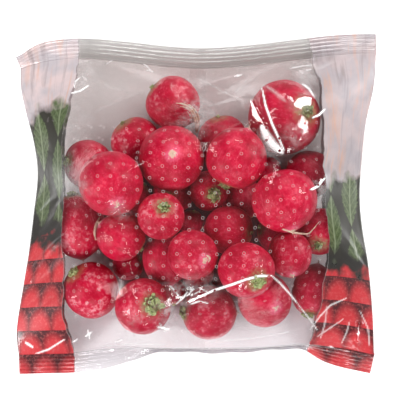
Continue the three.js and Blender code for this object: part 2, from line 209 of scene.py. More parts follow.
# The radishes. Each is a round red root with a pinched tail end, a trimmed or a short tail, and a rosette
# of cut leaf stalks on its crown. They lie loose in two layers, each where its solid is.
# Each row holds a width in mm, the crown's direction, the length over the width, the tail in mm, the
# rosette's share of the width and how pale the skin is.
RADISHES = [
    (30, (-0.6, 0.45, 0.1), 1.0, 4, 0.10, 0.60),
    (36, (-0.05, -0.12, -1), 0.97, 1.5, 0.22, 0.10),
    (28, (-0.5, 0.7, 0.3), 1.0, 2, 0.10, 0.75),
    (27, (-0.85, 0.1, 0.45), 1.0, 2, 0.22, 0.35),
    (35, (-0.2, 0.62, -0.75), 1.0, 1.5, 0.22, 0.10),
    (41, (0.66, 0.2, 0.72), 0.95, 2, 0.24, 0.05),
    (33, (-0.35, -0.85, 0.0), 1.02, 3, 0.22, 0.10),
    (28, (-0.2, 0.95, 0.25), 1.0, 2, 0.10, 0.10),
    (22, (0.28, -0.2, 0.95), 1.0, 1.5, 0.40, 0.20),
    (24, (0.2, -0.9, 0.1), 1.0, 2, 0.10, 0.10),
    (36, (-0.2, 0.85, -0.3), 0.94, 2, 0.10, 0.12),
    (26, (0.6, -0.3, 0.2), 1.05, 2, 0.10, 0.10),
    (25.5, (0.15, 0.42, 0.88), 1.0, 2, 0.30, 0.60),
    (27, (0.8, -0.5, -0.1), 1.0, 2, 0.10, 0.12),
    (31, (-0.15, 0.98, 0.1), 1.18, 2, 0.22, 0.55),
    (31, (-0.62, 0.66, 0.42), 1.02, 2, 0.24, 0.80),
    (31, (0.36, 0.1, 0.92), 1.0, 2, 0.40, 0.50),
    (27.5, (-0.45, 0.2, -0.85), 1.0, 1.5, 0.22, 0.40),
    (24, (-0.22, 0.96, 0.05), 1.2, 4, 0.10, 0.05),
    (30, (-0.97, 0.02, 0.2), 1.0, 2, 0.30, 0.60),
    (30.5, (0.42, -0.4, 0.81), 1.0, 2, 0.30, 0.45),
    (30, (-0.32, 0.2, -0.75), 0.95, 1.5, 0.22, 0.08),
    (24, (-0.1, 0.8, -0.5), 1.06, 2, 0.22, 0.40),
    (23, (-0.2, -0.94, 0.3), 1.3, 2, 0.34, 0.20),
    (25, (-0.1, -0.6, 0.8), 1.05, 2, 0.24, 0.25),
    (18, (0.7, 0.5, 0.4), 1.0, 1.5, 0.10, 0.40),
    (27, (0.9, -0.1, 0.3), 1.0, 1.5, 0.10, 0.10),
    (23, (0.75, 0.6, 0.2), 1.0, 1.5, 0.10, 0.10),
    (23, (-0.3, -0.2, 0.9), 1.0, 1.5, 0.10, 0.10),
    (25, (-0.9, 0.2, 0.3), 1.0, 1.5, 0.10, 0.10),
    (14, (0.2, 0.9, 0.3), 1.0, 1.5, 0.10, 0.10),
    (17, (0.8, 0.4, 0.2), 1.0, 1.5, 0.10, 0.10),
    (16, (-0.3, 0.9, -0.2), 1.0, 1.5, 0.10, 0.10),
    (15, (0.1, -0.9, 0.2), 1.0, 1.5, 0.10, 0.10),
]
STUB_RISE = 1.6 * MM  # of the solid's stub over the radish's top
STALKS = 20
STALK_REACH, STALK_THICKNESS, STALK_HEIGHT = 0.80, (0.17, 0.27), (0.55, 1.15)  # of the rosette's radius
STALK_FLATNESS, STALK_BOW = 0.55, 0.8  # how thin a stalk is across, and how far its sides bow
ROSETTE_TALLEST, ROSETTE_FOOT = 2.1 * MM, 0.94  # and where it stands, as a share of the way to the crown
GOLDEN_TURN = 2.4  # radians, from one to the next
TAIL_RADIUS = 0.5 * MM
LUMP_SIZE, LUMP_RISE = 17 * MM, 1.1 * MM
BODY_SIDES, TAIL_SIDES, STALK_SIDES, BULK_SIDES = 28, 8, 10, 12
BODY_RINGS = [  # radius and height, as shares of the radish's radius, from the tail end to the crown
    (0.05, -1.03), (0.12, -0.985), (0.24, -0.945), (0.42, -0.875), (0.60, -0.77), (0.76, -0.62),
    (0.885, -0.43), (0.97, -0.18), (1.0, 0.08), (0.965, 0.34), (0.86, 0.57), (0.70, 0.755), (0.52, 0.87),
    (0.36, 0.93), (0.22, 0.94), (0.10, 0.935),
]
TAIL_RINGS = [(1.9, 0.25), (1.25, 0.0), (0.85, -0.25), (0.62, -0.5), (0.45, -0.75), (0.25, -1.0)]
BULK_RINGS = [(1.05, -0.4), (1.05, 0.75), (0.75, 1.05), (0.1, 1.1)]  # of the room that a rosette takes
SKIN = {
    "deep": (0.40, 0.002, 0.022),
    "crimson": (0.66, 0.008, 0.052),
    "light": (0.76, 0.045, 0.120),
    "streak": (0.84, 0.17, 0.25),
    "line": (0.24, 0.001, 0.012),
    "speck": (0.92, 0.42, 0.48),
    "scuff": (0.86, 0.40, 0.44),
    "tail": (0.88, 0.18, 0.30),
    "scar": (0.66, 0.50, 0.38),
    "shoulder": (0.40, 0.14, 0.08),
    "crown": (0.34, 0.27, 0.12),
}
STALK = {
    "green": (0.24, 0.31, 0.10),
    "pale": (0.42, 0.49, 0.20),
    "fibre": (0.64, 0.66, 0.40),
    "brown": (0.16, 0.09, 0.04),
    "foot": (0.50, 0.26, 0.16),
}
ROOT = {"pink": (0.66, 0.42, 0.34), "cream": (0.72, 0.60, 0.44), "dry": (0.36, 0.20, 0.11)}


def ring_by_ring(name, rings, sides):
    """A round piece, extruded upwards from a disc one ring at a time."""
    radius, height = rings[0]
    bpy.ops.mesh.primitive_circle_add(vertices=sides, radius=radius, fill_type="NGON", location=(0, 0, 0))
    piece = bpy.context.object
    piece.name = name
    bpy.ops.object.mode_set(mode="EDIT")
    bpy.ops.mesh.select_all(action="SELECT")
    bpy.ops.transform.translate(value=(0, 0, height))
    for next_radius, next_height in rings[1:]:
        bpy.ops.mesh.extrude_region_move(TRANSFORM_OT_translate={"value": (0, 0, next_height - height)})
        bpy.ops.transform.resize(value=(next_radius / radius, next_radius / radius, 1))
        radius, height = next_radius, next_height
    bpy.ops.mesh.select_all(action="SELECT")
    bpy.ops.mesh.normals_make_consistent(inside=False)
    bpy.ops.object.mode_set(mode="OBJECT")
    return piece


def apply_modifier(piece, kind, **values):
    modifier = piece.modifiers.new(kind.lower(), kind)
    for key, value in values.items():
        setattr(modifier, key, value)
    bpy.context.view_layer.objects.active = piece
    bpy.ops.object.modifier_apply(modifier=modifier.name)


def only(piece):
    bpy.ops.object.select_all(action="DESELECT")
    piece.select_set(True)
    bpy.context.view_layer.objects.active = piece


def copy_of(piece, name):
    made = piece.copy()
    made.data = piece.data.copy()
    made.name = name
    bpy.context.collection.objects.link(made)
    return made


def joined(pieces, name):
    only(pieces[0])
    for piece in pieces[1:]:
        piece.select_set(True)
    bpy.ops.object.join()
    bpy.context.object.name = name
    return bpy.context.object


def stalk_rosette(name, seed):
    """Leaf stalks cut short round a crown, inside a disc of radius 1. Each is a gutter in section."""
    draw = random.Random(seed)
    stalks = []
    for n in range(STALKS):
        share = (n + 0.5) / STALKS
        turn = n * GOLDEN_TURN + draw.uniform(-0.3, 0.3)
        reach = STALK_REACH * math.sqrt(share)
        thick = draw.uniform(*STALK_THICKNESS)
        tall = draw.uniform(*STALK_HEIGHT) * (1.15 - 0.45 * share)
        outside = [(1.3, -0.4), (1.1, 0.0), (1, tall * 0.6), (1.05, tall), (0.86, tall + 0.02)]
        hollow = [(0.55, tall - 0.07), (0.2, tall - 0.1)]
        rings = [(thick * radius, height) for radius, height in outside + hollow]
        stalk = ring_by_ring("stalk", rings, STALK_SIDES)
        for vertex in stalk.data.vertices:
            vertex.co.x = STALK_FLATNESS * vertex.co.x - STALK_BOW * vertex.co.y**2 / thick
        stalk.rotation_euler = (draw.uniform(-0.25, 0.25), draw.uniform(0.05, 0.45) * share, turn)
        stalk.location = (reach * math.cos(turn), reach * math.sin(turn), 0)
        stalks.append(stalk)
    rosette = joined(stalks, name)
    only(rosette)
    bpy.ops.object.transform_apply(location=True, rotation=True, scale=True)
    return rosette


def centre_of(node, direction, tip):
    """Where the middle of a radish's solid is: on its axis, one tip and one stub below its crown's top."""
    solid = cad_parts[node].data
    places = np.empty(len(solid.vertices) * 3)
    solid.vertices.foreach_get("co", places)
    places = np.unique(places.reshape(-1, 3).round(6), axis=0)
    along = places @ direction
    girth = places - np.outer(along, direction)
    waist = np.abs(along - (along.max() - STUB_RISE - tip)) < tip * 0.5
    return girth[waist].mean(axis=0) + direction * (along.max() - STUB_RISE - tip)


def noise(add, place, scale, detail, **values):
    """A cloudy pattern from 0 to 1. One that is given a seed differs from radish to radish."""
    dimensions = "4D" if "W" in values else "3D"
    inputs = {"Vector": place, "Scale": scale, "Detail": detail, **values}
    return add("ShaderNodeTexNoise", inputs, noise_dimensions=dimensions).outputs["Fac"]


def layered(add, colour, layers, smooth=False):
    """A colour with others over it. Each has a pattern, where that starts and is full, and a strength."""
    for pattern, low, high, strength, over in layers:
        colour = blend_colours(add, ranged(add, pattern, low, high, 0, strength, smooth), colour, over)
    return colour


def kept(add, name, kind="Fac"):
    """What a piece keeps at each of its points under a name."""
    return add("ShaderNodeAttribute", attribute_name=name).outputs[kind]


def radish_skin_material():
    """Crimson skin, mottled and faintly streaked, pale at the tail end and olive at the crown."""
    material = bpy.data.materials.new("radish_skin")
    tree, add = node_set(material)
    shader = tree.nodes["Principled BSDF"]
    place = kept(add, "own_place", "Vector")
    seed = maths(add, "MULTIPLY", kept(add, "tone"), 7.3)
    blotch = noise(add, place, 110, 4, W=seed, Roughness=0.6)
    mottle = noise(add, place, 420, 5, W=seed, Roughness=0.65)
    drawn_out = add("ShaderNodeMapping", {"Vector": place, "Scale": (1, 1, 0.16)}).outputs[0]
    streak = noise(add, drawn_out, 900, 3, W=seed)
    speck = add("ShaderNodeTexVoronoi", {"Vector": place, "Scale": 520, "Randomness": 1}).outputs["Distance"]

    colour = blend_colours(add, ranged(add, blotch, 0.35, 0.68), SKIN["deep"], SKIN["crimson"])
    colour = layered(add, colour, (
        (mottle, 0.45, 0.78, 0.40, SKIN["light"]),
        (streak, 0.54, 0.74, 0.22, SKIN["streak"]),
        (streak, 0.42, 0.25, 0.45, SKIN["line"]),
        (speck, 0.15, 0.08, 0.22, SKIN["speck"]),
    ))
    patch = maths(add, "ADD", ranged(add, mottle, 0.35, 0.75, -0.25, 0.25), blotch)
    scuffed = maths(add, "MULTIPLY", ranged(add, patch, 0.44, 0.80, smooth=True), kept(add, "paleness"))
    colour = blend_colours(add, scuffed, colour, SKIN["scuff"])
    wavy = maths(add, "ADD", kept(add, "root_to_crown"), ranged(add, mottle, 0.3, 0.7, -0.05, 0.05))
    ends = (
        (wavy, -0.90, -1.0, 0.65, SKIN["tail"]),
        (wavy, -0.988, -1.0, 0.9, SKIN["scar"]),
        (wavy, 0.84, 0.95, 0.65, SKIN["shoulder"]),
        (wavy, 0.92, 0.96, 0.75, SKIN["crown"]),
    )
    tree.links.new(layered(add, colour, ends, smooth=True), shader.inputs["Base Color"])
    tree.links.new(ranged(add, mottle, 0.3, 0.7, 0.30, 0.52), shader.inputs["Roughness"])
    shader.inputs["Specular IOR Level"].default_value = 0.3
    shader.inputs["Subsurface Weight"].default_value = 0.12
    shader.inputs["Subsurface Radius"].default_value = (1.0, 0.25, 0.2)
    shader.inputs["Subsurface Scale"].default_value = 3 * MM
    grain = maths(add, "ADD", maths(add, "MULTIPLY", streak, 0.5), mottle)
    bump = add("ShaderNodeBump", {"Height": grain, "Strength": 0.35, "Distance": 0.4 * MM})
    tree.links.new(bump.outputs[0], shader.inputs["Normal"])
    return material


def stalk_material():
    """Cut leaf stalks: fresh green outside, paler and drier at the cut."""
    material = bpy.data.materials.new("cut_stalk")
    tree, add = node_set(material)
    shader = tree.nodes["Principled BSDF"]
    place = add("ShaderNodeTexCoord").outputs["Object"]
    fibre = noise(add, place, 1100, 3)
    blotch = noise(add, place, 330, 2)
    colour = blend_colours(add, ranged(add, blotch, 0.35, 0.65), STALK["green"], STALK["pale"])
    colour = layered(add, colour, (
        (fibre, 0.45, 0.72, 0.75, STALK["fibre"]),
        (blotch, 0.47, 0.34, 0.75, STALK["brown"]),
        (kept(add, "root_to_crown"), 1.00, 0.94, 0.5, STALK["foot"]),
    ))
    tree.links.new(colour, shader.inputs["Base Color"])
    shader.inputs["Roughness"].default_value = 0.6
    bump = add("ShaderNodeBump", {"Height": fibre, "Strength": 0.4, "Distance": 0.4 * MM})
    tree.links.new(bump.outputs[0], shader.inputs["Normal"])
    return material


def root_material():
    """The thin tail root: cream, with brownish stretches where it has dried."""
    material = bpy.data.materials.new("tail_root")
    tree, add = node_set(material)
    shader = tree.nodes["Principled BSDF"]
    fibre = noise(add, add("ShaderNodeTexCoord").outputs["Object"], 700, 4)
    colour = blend_colours(add, ranged(add, fibre, 0.4, 0.65), ROOT["pink"], ROOT["cream"])
    colour = layered(add, colour, [(fibre, 0.42, 0.3, 0.7, ROOT["dry"])])
    tree.links.new(colour, shader.inputs["Base Color"])
    shader.inputs["Roughness"].default_value = 0.65
    return material


def keep_float(mesh, name, values):
    attribute = mesh.attributes.new(name, "FLOAT", "POINT")
    attribute.data.foreach_set("value", np.asarray(values, dtype=np.float32))


skin, cut_stalk, tail_root = radish_skin_material(), stalk_material(), root_material()
body_start = ring_by_ring("body_start", BODY_RINGS, BODY_SIDES)
tail_start = ring_by_ring("tail_start", TAIL_RINGS, TAIL_SIDES)
rosettes = [stalk_rosette(f"rosette_start_{n}", n + 3) for n in range(3)]
bulk_start = ring_by_ring("bulk_start", BULK_RINGS, BULK_SIDES)
lumps = bpy.data.textures.new("lumps", "CLOUDS")
lumps.noise_scale = LUMP_SIZE
radishes = []
radish_blocks = []  # the same before they are made fine, for the film to fall on
for number, (width, crown, long, tail, stub, pale) in enumerate(RADISHES, start=1):
    node = f"radish_{number:02d}"
    direction = Vector(crown).normalized()
    radius = width / 2 * MM
    tip = radius * long
    centre = Vector(centre_of(node, np.array(direction), tip))
    spin = Matrix.Rotation(number * GOLDEN_TURN, 4, "Z")
    turn = Vector((0, 0, 1)).rotation_difference(direction).to_matrix().to_4x4() @ spin
    body = copy_of(body_start, "body")
    body.data.transform(Matrix.Diagonal((radius, radius, tip, 1)))
    root = copy_of(tail_start, "root")
    root.data.transform(Matrix.Diagonal((TAIL_RADIUS, TAIL_RADIUS, tail * MM, 1)))
    root.data.transform(Matrix.Translation((0, 0, -tip)))
    rosette = copy_of(rosettes[number % 3], "rosette")
    stub_radius = radius * stub
    bulk = copy_of(bulk_start, "bulk")
    stub_height = min(ROSETTE_TALLEST, stub_radius)
    for piece in (rosette, bulk):
        piece.data.transform(Matrix.Diagonal((stub_radius, stub_radius, stub_height, 1)))
        piece.data.transform(Matrix.Translation((0, 0, tip * ROSETTE_FOOT)))
    for piece, material in ((body, skin), (root, tail_root), (rosette, cut_stalk)):
        piece.data.materials.append(material)
    radish_blocks.append(joined([copy_of(body, "block"), copy_of(root, "tail"), bulk], f"block_{number}"))
    for piece in (body, root):
        apply_modifier(piece, "SUBSURF", levels=2, render_levels=2)
    whole = joined([body, root, rosette], f"radish_fresh_{number:02d}")
    own_places = np.empty(len(whole.data.vertices) * 3, dtype=np.float32)
    whole.data.vertices.foreach_get("co", own_places)
    attribute = whole.data.attributes.new("own_place", "FLOAT_VECTOR", "POINT")
    attribute.data.foreach_set("vector", own_places)
    keep_float(whole.data, "root_to_crown", own_places.reshape(-1, 3)[:, 2] / tip)
    keep_float(whole.data, "tone", np.full(len(whole.data.vertices), (number * 0.618) % 1))
    keep_float(whole.data, "paleness", np.full(len(whole.data.vertices), pale))
    whole.data.transform(Matrix.Translation(centre) @ turn)
    radish_blocks[-1].data.transform(Matrix.Translation(centre) @ turn)
    lumpy = {"texture": lumps, "strength": LUMP_RISE, "mid_level": 0.5, "texture_coords": "LOCAL"}
    apply_modifier(whole, "DISPLACE", **lumpy)
    only(whole)
    bpy.ops.object.shade_smooth()
    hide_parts(node)
    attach(whole, "root")
    radishes.append(whole)
for start in (body_start, tail_start, bulk_start, *rosettes):
    bpy.data.objects.remove(start)

# Strands. A few dried tail roots and torn strips of skin lie over the radishes. Each is a tapered tube
# along a path of pixels, laid on what is under it.
STRANDS = [  # radish, pixels, width in mm at each
    (
        11,
        [(281, 228), (289, 231), (299, 233), (307, 233), (312, 229), (318, 222)],
        (1.5, 1.3, 1.0, 0.8, 0.6, 0.3),
    ),
    (11, [(303, 233), (308, 236), (311, 235)], (0.6, 0.4, 0.2)),
    (
        1,
        [(176, 103), (183, 104), (190, 108), (195, 115), (197, 124), (197, 132)],
        (0.5, 1.4, 1.7, 1.6, 1.8, 0.7),
    ),
    (1, [(180, 106), (187, 108), (192, 113), (195, 121), (196, 130)], (0.4, 1.2, 1.7, 1.5, 0.6)),
    (1, [(184, 102), (191, 106), (197, 113), (199, 122), (198, 129)], (0.4, 1.0, 1.3, 1.2, 0.4)),
    (1, [(187, 111), (190, 115), (192, 121)], (0.3, 0.9, 0.3)),
    (14, [(99, 217), (96, 224), (94, 232), (95, 240)], (0.8, 2.4, 2.0, 0.8)),
    (9, [(216, 192), (220, 198), (217, 203), (211, 207)], (0.9, 0.6, 0.5, 0.3)),
    (9, [(214, 196), (211, 202), (209, 206)], (0.7, 0.5, 0.2)),
    (18, [(206, 254), (209, 257), (208, 261)], (0.8, 1.8, 0.8)),
]
ABOVE_ALL, BELOW_ALL = 0.2, -0.1  # metres
STRAND_SIDES, STRAND_STEPS = 2, 6  # how finely each is rounded, across and along
STRAND_SINK = 0.25  # as a share of its width
STRAND_DROP = 4 * MM  # the most that one sags from a point to the next


def ray_tree(piece):
    """What finds where a line first meets a piece."""
    mesh = bmesh.new()
    mesh.from_mesh(piece.data)
    tree = BVHTree.FromBMesh(mesh)
    mesh.free()
    return tree


whole_heap = joined([copy_of(radish, "under_strands") for radish in radishes], "under_strands")
heap_tree = ray_tree(whole_heap)
bpy.data.objects.remove(whole_heap)
for count, (number, pixels, widths) in enumerate(STRANDS, start=1):
    curve = bpy.data.curves.new(f"strand_{count}", "CURVE")
    curve.dimensions = "3D"
    curve.bevel_depth = 0.5 * MM
    curve.bevel_resolution = STRAND_SIDES
    curve.use_fill_caps = True
    curve.resolution_u = STRAND_STEPS
    spline = curve.splines.new("BEZIER")
    spline.bezier_points.add(len(pixels) - 1)
    height = None
    for point, pixel, width in zip(spline.bezier_points, pixels, widths):
        hit = heap_tree.ray_cast(Vector((*from_pixel(*pixel), ABOVE_ALL)), Vector((0, 0, -1)))[0]
        height = hit.z if height is None else max(hit.z if hit else 0, height - STRAND_DROP)
        point.co = (*from_pixel(*pixel), height - STRAND_SINK * width * MM)
        point.radius = width
        point.handle_left_type = point.handle_right_type = "AUTO"
    strand = bpy.data.objects.new(f"strand_{count}", curve)
    bpy.context.collection.objects.link(strand)
    only(strand)
    bpy.ops.object.convert(target="MESH")
    strand = bpy.context.object
    strand.data.materials.clear()
    strand.data.materials.append(tail_root)
    bpy.ops.object.shade_smooth()
    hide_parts(f"radish_{number:02d}")
    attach(strand, "root")

# The film. One tube of thin clear film lies on its back over and under the radishes. Its front is pushed up
# by them and crumpled where it has slack, its back lies on the floor, and the two meet at the folded sides
# and the seals.
SHEET_COLUMNS, SHEET_ROWS = 140, 124
FLAT_WIDTH, FLAT_LENGTH = 199, 165  # mm, of the tube laid flat between its seals
BAND_WIDTH = 32  # mm, of each printed side band
FILM_GAP = 0.35 * MM  # kept between the film and a radish
CORNER_HEIGHT = 3.2 * MM  # of the rim, where the front and the back meet, over the floor
TOP_CROWN, BOTTOM_CROWN, SIDE_CROWN = 2.5 * MM, 9.3 * MM, 11 * MM  # how much higher it is between corners
BOTTOM_EDGE = [
    (15, 358), (42, 357), (72, 356), (100, 353), (135, 351), (170, 351), (210, 351), (262, 350), (308, 347),
    (345, 351), (378, 358),
]
TOP_EDGE = [
    (17, 66), (35, 60), (58, 56), (85, 55), (120, 58), (165, 63), (205, 65), (250, 62), (300, 56),
    (345, 51), (380, 50),
]
LEFT_EDGE = [
    (15, 358), (13, 335), (19, 295), (26, 255), (31, 215), (35, 175), (31, 142), (23, 112), (17, 85),
    (17, 66),
]
RIGHT_EDGE = [
    (378, 358), (376, 315), (371, 265), (364, 225), (362, 195), (365, 155), (369, 120), (377, 85),
    (380, 50),
]
LEFT_BAND = [  # the inner edge of the printed band
    (76, 378), (72, 365), (70, 350), (65, 330), (62, 310), (62, 280), (61, 250), (62, 230), (64, 210),
    (64, 190), (62, 170), (62, 140), (64, 120), (68, 100), (72, 85), (77, 60), (75, 37),
]
RIGHT_BAND = [
    (311, 345), (316, 330), (322, 300), (327, 270), (328, 240), (325, 215), (324, 190), (322, 165),
    (325, 150), (324, 120), (322, 100), (320, 80), (315, 60), (313, 38),
]


def even_points(pixels, count):
    """Evenly spaced points on a smooth curve through some pixels."""
    points = np.array([from_pixel(*pixel) for pixel in pixels])
    ends = np.vstack([points[:1], points, points[-1:]])
    share = np.linspace(0, 1, 24, endpoint=False)[:, None]
    pieces = []
    for a, b, c, d in zip(ends, ends[1:], ends[2:], ends[3:]):
        bend = (2 * a - 5 * b + 4 * c - d) * share**2
        swing = (3 * b - a - 3 * c + d) * share**3
        pieces.append(0.5 * (2 * b + (c - a) * share + bend + swing))
    dense = np.vstack([*pieces, points[-1:]])
    run = np.concatenate([[0], np.cumsum(np.linalg.norm(np.diff(dense, axis=0), axis=1))])
    stops = np.linspace(0, run[-1], count)
    return np.stack([np.interp(stops, run, dense[:, axis]) for axis in range(2)], axis=1)


def sheet_plan(columns, rows):
    """The place over the floor of each point of a sheet, blended from its four edges, as [row, column]."""
    across = np.linspace(0, 1, columns + 1)[None, :, None]
    along = np.linspace(0, 1, rows + 1)[:, None, None]
    bottom, top = (even_points(edge, columns + 1)[None] for edge in (BOTTOM_EDGE, TOP_EDGE))
    left, right = (even_points(edge, rows + 1)[:, None] for edge in (LEFT_EDGE, RIGHT_EDGE))
    corners = (1 - along) * ((1 - across) * bottom[:, :1] + across * bottom[:, -1:])
    corners = corners + along * ((1 - across) * top[:, :1] + across * top[:, -1:])
    return (1 - along) * bottom + along * top + (1 - across) * left + across * right - corners


def rim_height(across, along):
    """The height at which the front and the back of the film meet."""
    arch = np.sin(np.pi * across)
    ends = BOTTOM_CROWN * arch**0.8 * (1 - along) ** 6 + TOP_CROWN * arch * along**6
    side = SIDE_CROWN * np.sin(np.pi * along) ** 1.3 * np.abs(2 * across - 1) ** 4
    return CORNER_HEIGHT + ends + side


def grown(heights, reach):
    """Each height raised to the highest of those near it."""
    out = heights.copy()
    for j in range(-reach, reach + 1):
        for i in range(-reach, reach + 1):
            if i * i + j * j <= reach * reach:
                out = np.maximum(out, np.roll(heights, (j, i), (0, 1)))
    return out


def mean_round(heights):
    """The mean of the four heights round each point inside the rim."""
    return (heights[:-2, 1:-1] + heights[2:, 1:-1] + heights[1:-1, :-2] + heights[1:-1, 2:]) / 4


def taut(start, floor_heights, lift, passes):
    """Heights that bridge from peak to peak of what lies below, like a skin pulled tight."""
    heights = np.maximum(start, floor_heights)
    for _ in range(passes):
        mean = mean_round(heights)
        heights[1:-1, 1:-1] = np.maximum(mean + lift, floor_heights[1:-1, 1:-1])
    return heights


def resampled(values, rows, columns):
    """A grid of values read at another number of rows and columns."""
    j = np.linspace(0, values.shape[0] - 1, rows + 1)
    i = np.linspace(0, values.shape[1] - 1, columns + 1)
    j0, i0 = (np.minimum(n.astype(int), size - 2) for n, size in zip((j, i), values.shape))
    q, p = (j - j0)[:, None], (i - i0)[None]
    if values.ndim == 3:
        q, p = q[..., None], p[..., None]
    low = values[j0][:, i0] * (1 - p) + values[j0][:, i0 + 1] * p
    high = values[j0 + 1][:, i0] * (1 - p) + values[j0 + 1][:, i0 + 1] * p
    return low * (1 - q) + high * q


def doubled(grid):
    """A grid with a point set smoothly between each two."""
    for axis in (0, 1):
        grid = np.moveaxis(grid, axis, 0)
        ends = np.concatenate([2 * grid[:1] - grid[1:2], grid, 2 * grid[-1:] - grid[-2:-1]])
        between = (9 * (ends[1:-2] + ends[2:-1]) - (ends[:-3] + ends[3:])) / 16
        out = np.empty((2 * len(grid) - 1, *grid.shape[1:]))
        out[::2], out[1::2] = grid, between
        grid = np.moveaxis(out, 0, axis)
    return grid


def heights_seen(piece, plan, start, direction, missed):
    """The height of a piece where a line up or down through each point of a plan first meets it."""
    tree = ray_tree(piece)
    out = np.full(plan.shape[:2], missed)
    for j, i in np.ndindex(out.shape):
        hit = tree.ray_cast(Vector((*plan[j, i], start)), Vector((0, 0, direction)))[0]
        if hit:
            out[j, i] = hit.z
    return out


def sheet_object(name, points):
    """A sheet with a point for each of a grid's."""
    rows, columns = points.shape[0] - 1, points.shape[1] - 1
    bpy.ops.mesh.primitive_grid_add(x_subdivisions=columns, y_subdivisions=rows, size=1)
    sheet = bpy.context.object
    sheet.name = name
    sheet.data.vertices.foreach_set("co", points.astype(np.float32).ravel())
    sheet.data.update()
    return sheet


def crumpled(start, obstacle):
    """The sheet after its slack has been let go over the radishes, simulated at several times the size."""
    sheet = sheet_object("film_in_simulation", start * SIMULATION_SCALE)
    rim = np.zeros(start.shape[:2], dtype=bool)
    rim[[0, -1]] = rim[:, [0, -1]] = True
    pinned = sheet.vertex_groups.new(name="rim")
    pinned.add([int(n) for n in np.flatnonzero(rim)], 1.0, "REPLACE")
    loose = sheet.vertex_groups.new(name="slack")
    loose.add(list(range(rim.size)), 1.0, "REPLACE")
    cloth = sheet.modifiers.new("cloth", "CLOTH")
    settings = cloth.settings
    settings.quality = 5
    settings.mass = 0.08
    settings.tension_stiffness = settings.compression_stiffness = 40
    settings.shear_stiffness = 20
    settings.bending_stiffness = 1.2
    settings.air_damping = 3
    settings.vertex_group_mass = "rim"
    settings.vertex_group_shrink = "slack"
    settings.shrink_min = 0.0
    settings.shrink_max = -SLACK
    settings.effector_weights.gravity = 0.6
    cloth.collision_settings.distance_min = CONTACT
    cloth.collision_settings.collision_quality = 2
    blocks = copy_of(obstacle, "blocks")
    blocks.data.transform(Matrix.Scale(SIMULATION_SCALE, 4))
    blocks.modifiers.new("collision", "COLLISION")
    blocks.collision.thickness_outer = CONTACT
    blocks.collision.cloth_friction = 1
    scene = bpy.context.scene
    cloth.point_cache.frame_start, cloth.point_cache.frame_end = 1, FRAMES
    for step in range(1, FRAMES + 1):
        scene.frame_set(step)
    only(sheet)
    bpy.ops.object.modifier_apply(modifier=cloth.name)
    places = np.empty(start.size)
    sheet.data.vertices.foreach_get("co", places)
    for piece in (sheet, blocks):
        bpy.data.objects.remove(piece)
    scene.frame_set(1)
    return places.reshape(start.shape) / SIMULATION_SCALE


def taut_front(over):
    """The front pulled tight over what lies under it, worked out on coarse grids first."""
    across = np.linspace(0, 1, SHEET_COLUMNS + 1)[None]
    along = np.linspace(0, 1, SHEET_ROWS + 1)[:, None]
    rim = rim_height(across, along)
    heights = rim
    for cells in (4, 2, 1):
        start = resampled(heights, SHEET_ROWS // cells, SHEET_COLUMNS // cells)
        start[[0, -1]] = rim[[0, -1], ::cells]
        start[:, [0, -1]] = rim[::cells, [0, -1]]
        heights = taut(start, over[::cells, ::cells], AIR_LIFT * cells**2, TAUT_PASSES)
    return heights


def resting_back(rim, under):
    """The back: flat on the floor inside, and curving up to meet the front round its rim."""
    heights = rim.copy()
    heights[1:-1, 1:-1] = FLOOR_GAP
    for _ in range(BACK_PASSES):
        mean = mean_round(heights)
        heights[1:-1, 1:-1] = np.minimum(np.maximum(mean - BACK_PULL, FLOOR_GAP), under[1:-1, 1:-1])
    return heights


def line_place(flat, line):
    """Each point's distance from a line through pixels, and its share of the way along it."""
    points = np.array([from_pixel(*pixel) for pixel in line])
    lengths = np.linalg.norm(np.diff(points, axis=0), axis=1)
    runs = np.concatenate([[0], np.cumsum(lengths)])
    nearest = np.full(flat.shape[:2], 1e9)
    share = np.zeros(flat.shape[:2])
    for a, b, run, length in zip(points, points[1:], runs, lengths):
        t = np.clip(((flat - a) @ (b - a)) / length**2, 0, 1)
        off = np.linalg.norm(flat - a - t[..., None] * (b - a), axis=-1)
        closer = off < nearest
        nearest[closer] = off[closer]
        share[closer] = ((run + t * length) / runs[-1])[closer]
    return nearest, share


def tapered(share, blunt):
    """A width that is full at the middle of a line and narrows to a share of that at its ends."""
    return blunt + (1 - blunt) * np.sin(np.pi * share) ** 0.5


def mirror_slope(place, lamp):
    """The slope at which flat film at a place shows a lamp to someone who looks down on the bag."""
    here = Vector((*place, FOCUS_HEIGHT))
    half = (Vector(lamp) - here).normalized() + (camera.location - here).normalized()
    return -half.x / half.z, -half.y / half.z


def faceted(front, lowest):
    """The front with its facets pulled flat, each at its lamp's slope, and the film round them giving way."""
    flat, start = front[..., :2], front[..., 2]
    target = start.copy()
    held = np.zeros(start.shape, dtype=bool)
    for line, half_width, lamp, pieces in FACETS:
        nearest, share = line_place(flat, line)
        inside = nearest < half_width * MM * tapered(share, 0.40)
        middle = from_pixel(*line[len(line) // 2])
        plane = (flat - middle) @ mirror_slope(middle, LAMPS[lamp][0])
        for piece in range(pieces):
            part = inside & (np.minimum((share * pieces).astype(int), pieces - 1) == piece)
            if part.any():
                lift = max((start - plane)[part].mean(), (lowest - plane)[part].max())
                target[part] = plane[part] + lift
        held |= inside
    change = np.where(held, target - start, 0)
    pull = change.copy()
    for _ in range(FACET_PASSES):
        given = mean_round(pull) * FACET_FADE
        pull[1:-1, 1:-1] = np.where(held[1:-1, 1:-1], change[1:-1, 1:-1], given)
    return np.dstack([flat, np.maximum(start + pull, lowest)]), held


def patched(front, patches, sharpness):
    """How far each point lies in any of some soft round patches."""
    out = np.zeros(front.shape[:2])
    for pixel, radius, strength in patches:
        off = np.linalg.norm(front[..., :2] - from_pixel(*pixel), axis=-1) / (radius * MM_PER_PIXEL * MM)
        out = np.maximum(out, strength * np.exp(-(off**sharpness)))
    return out


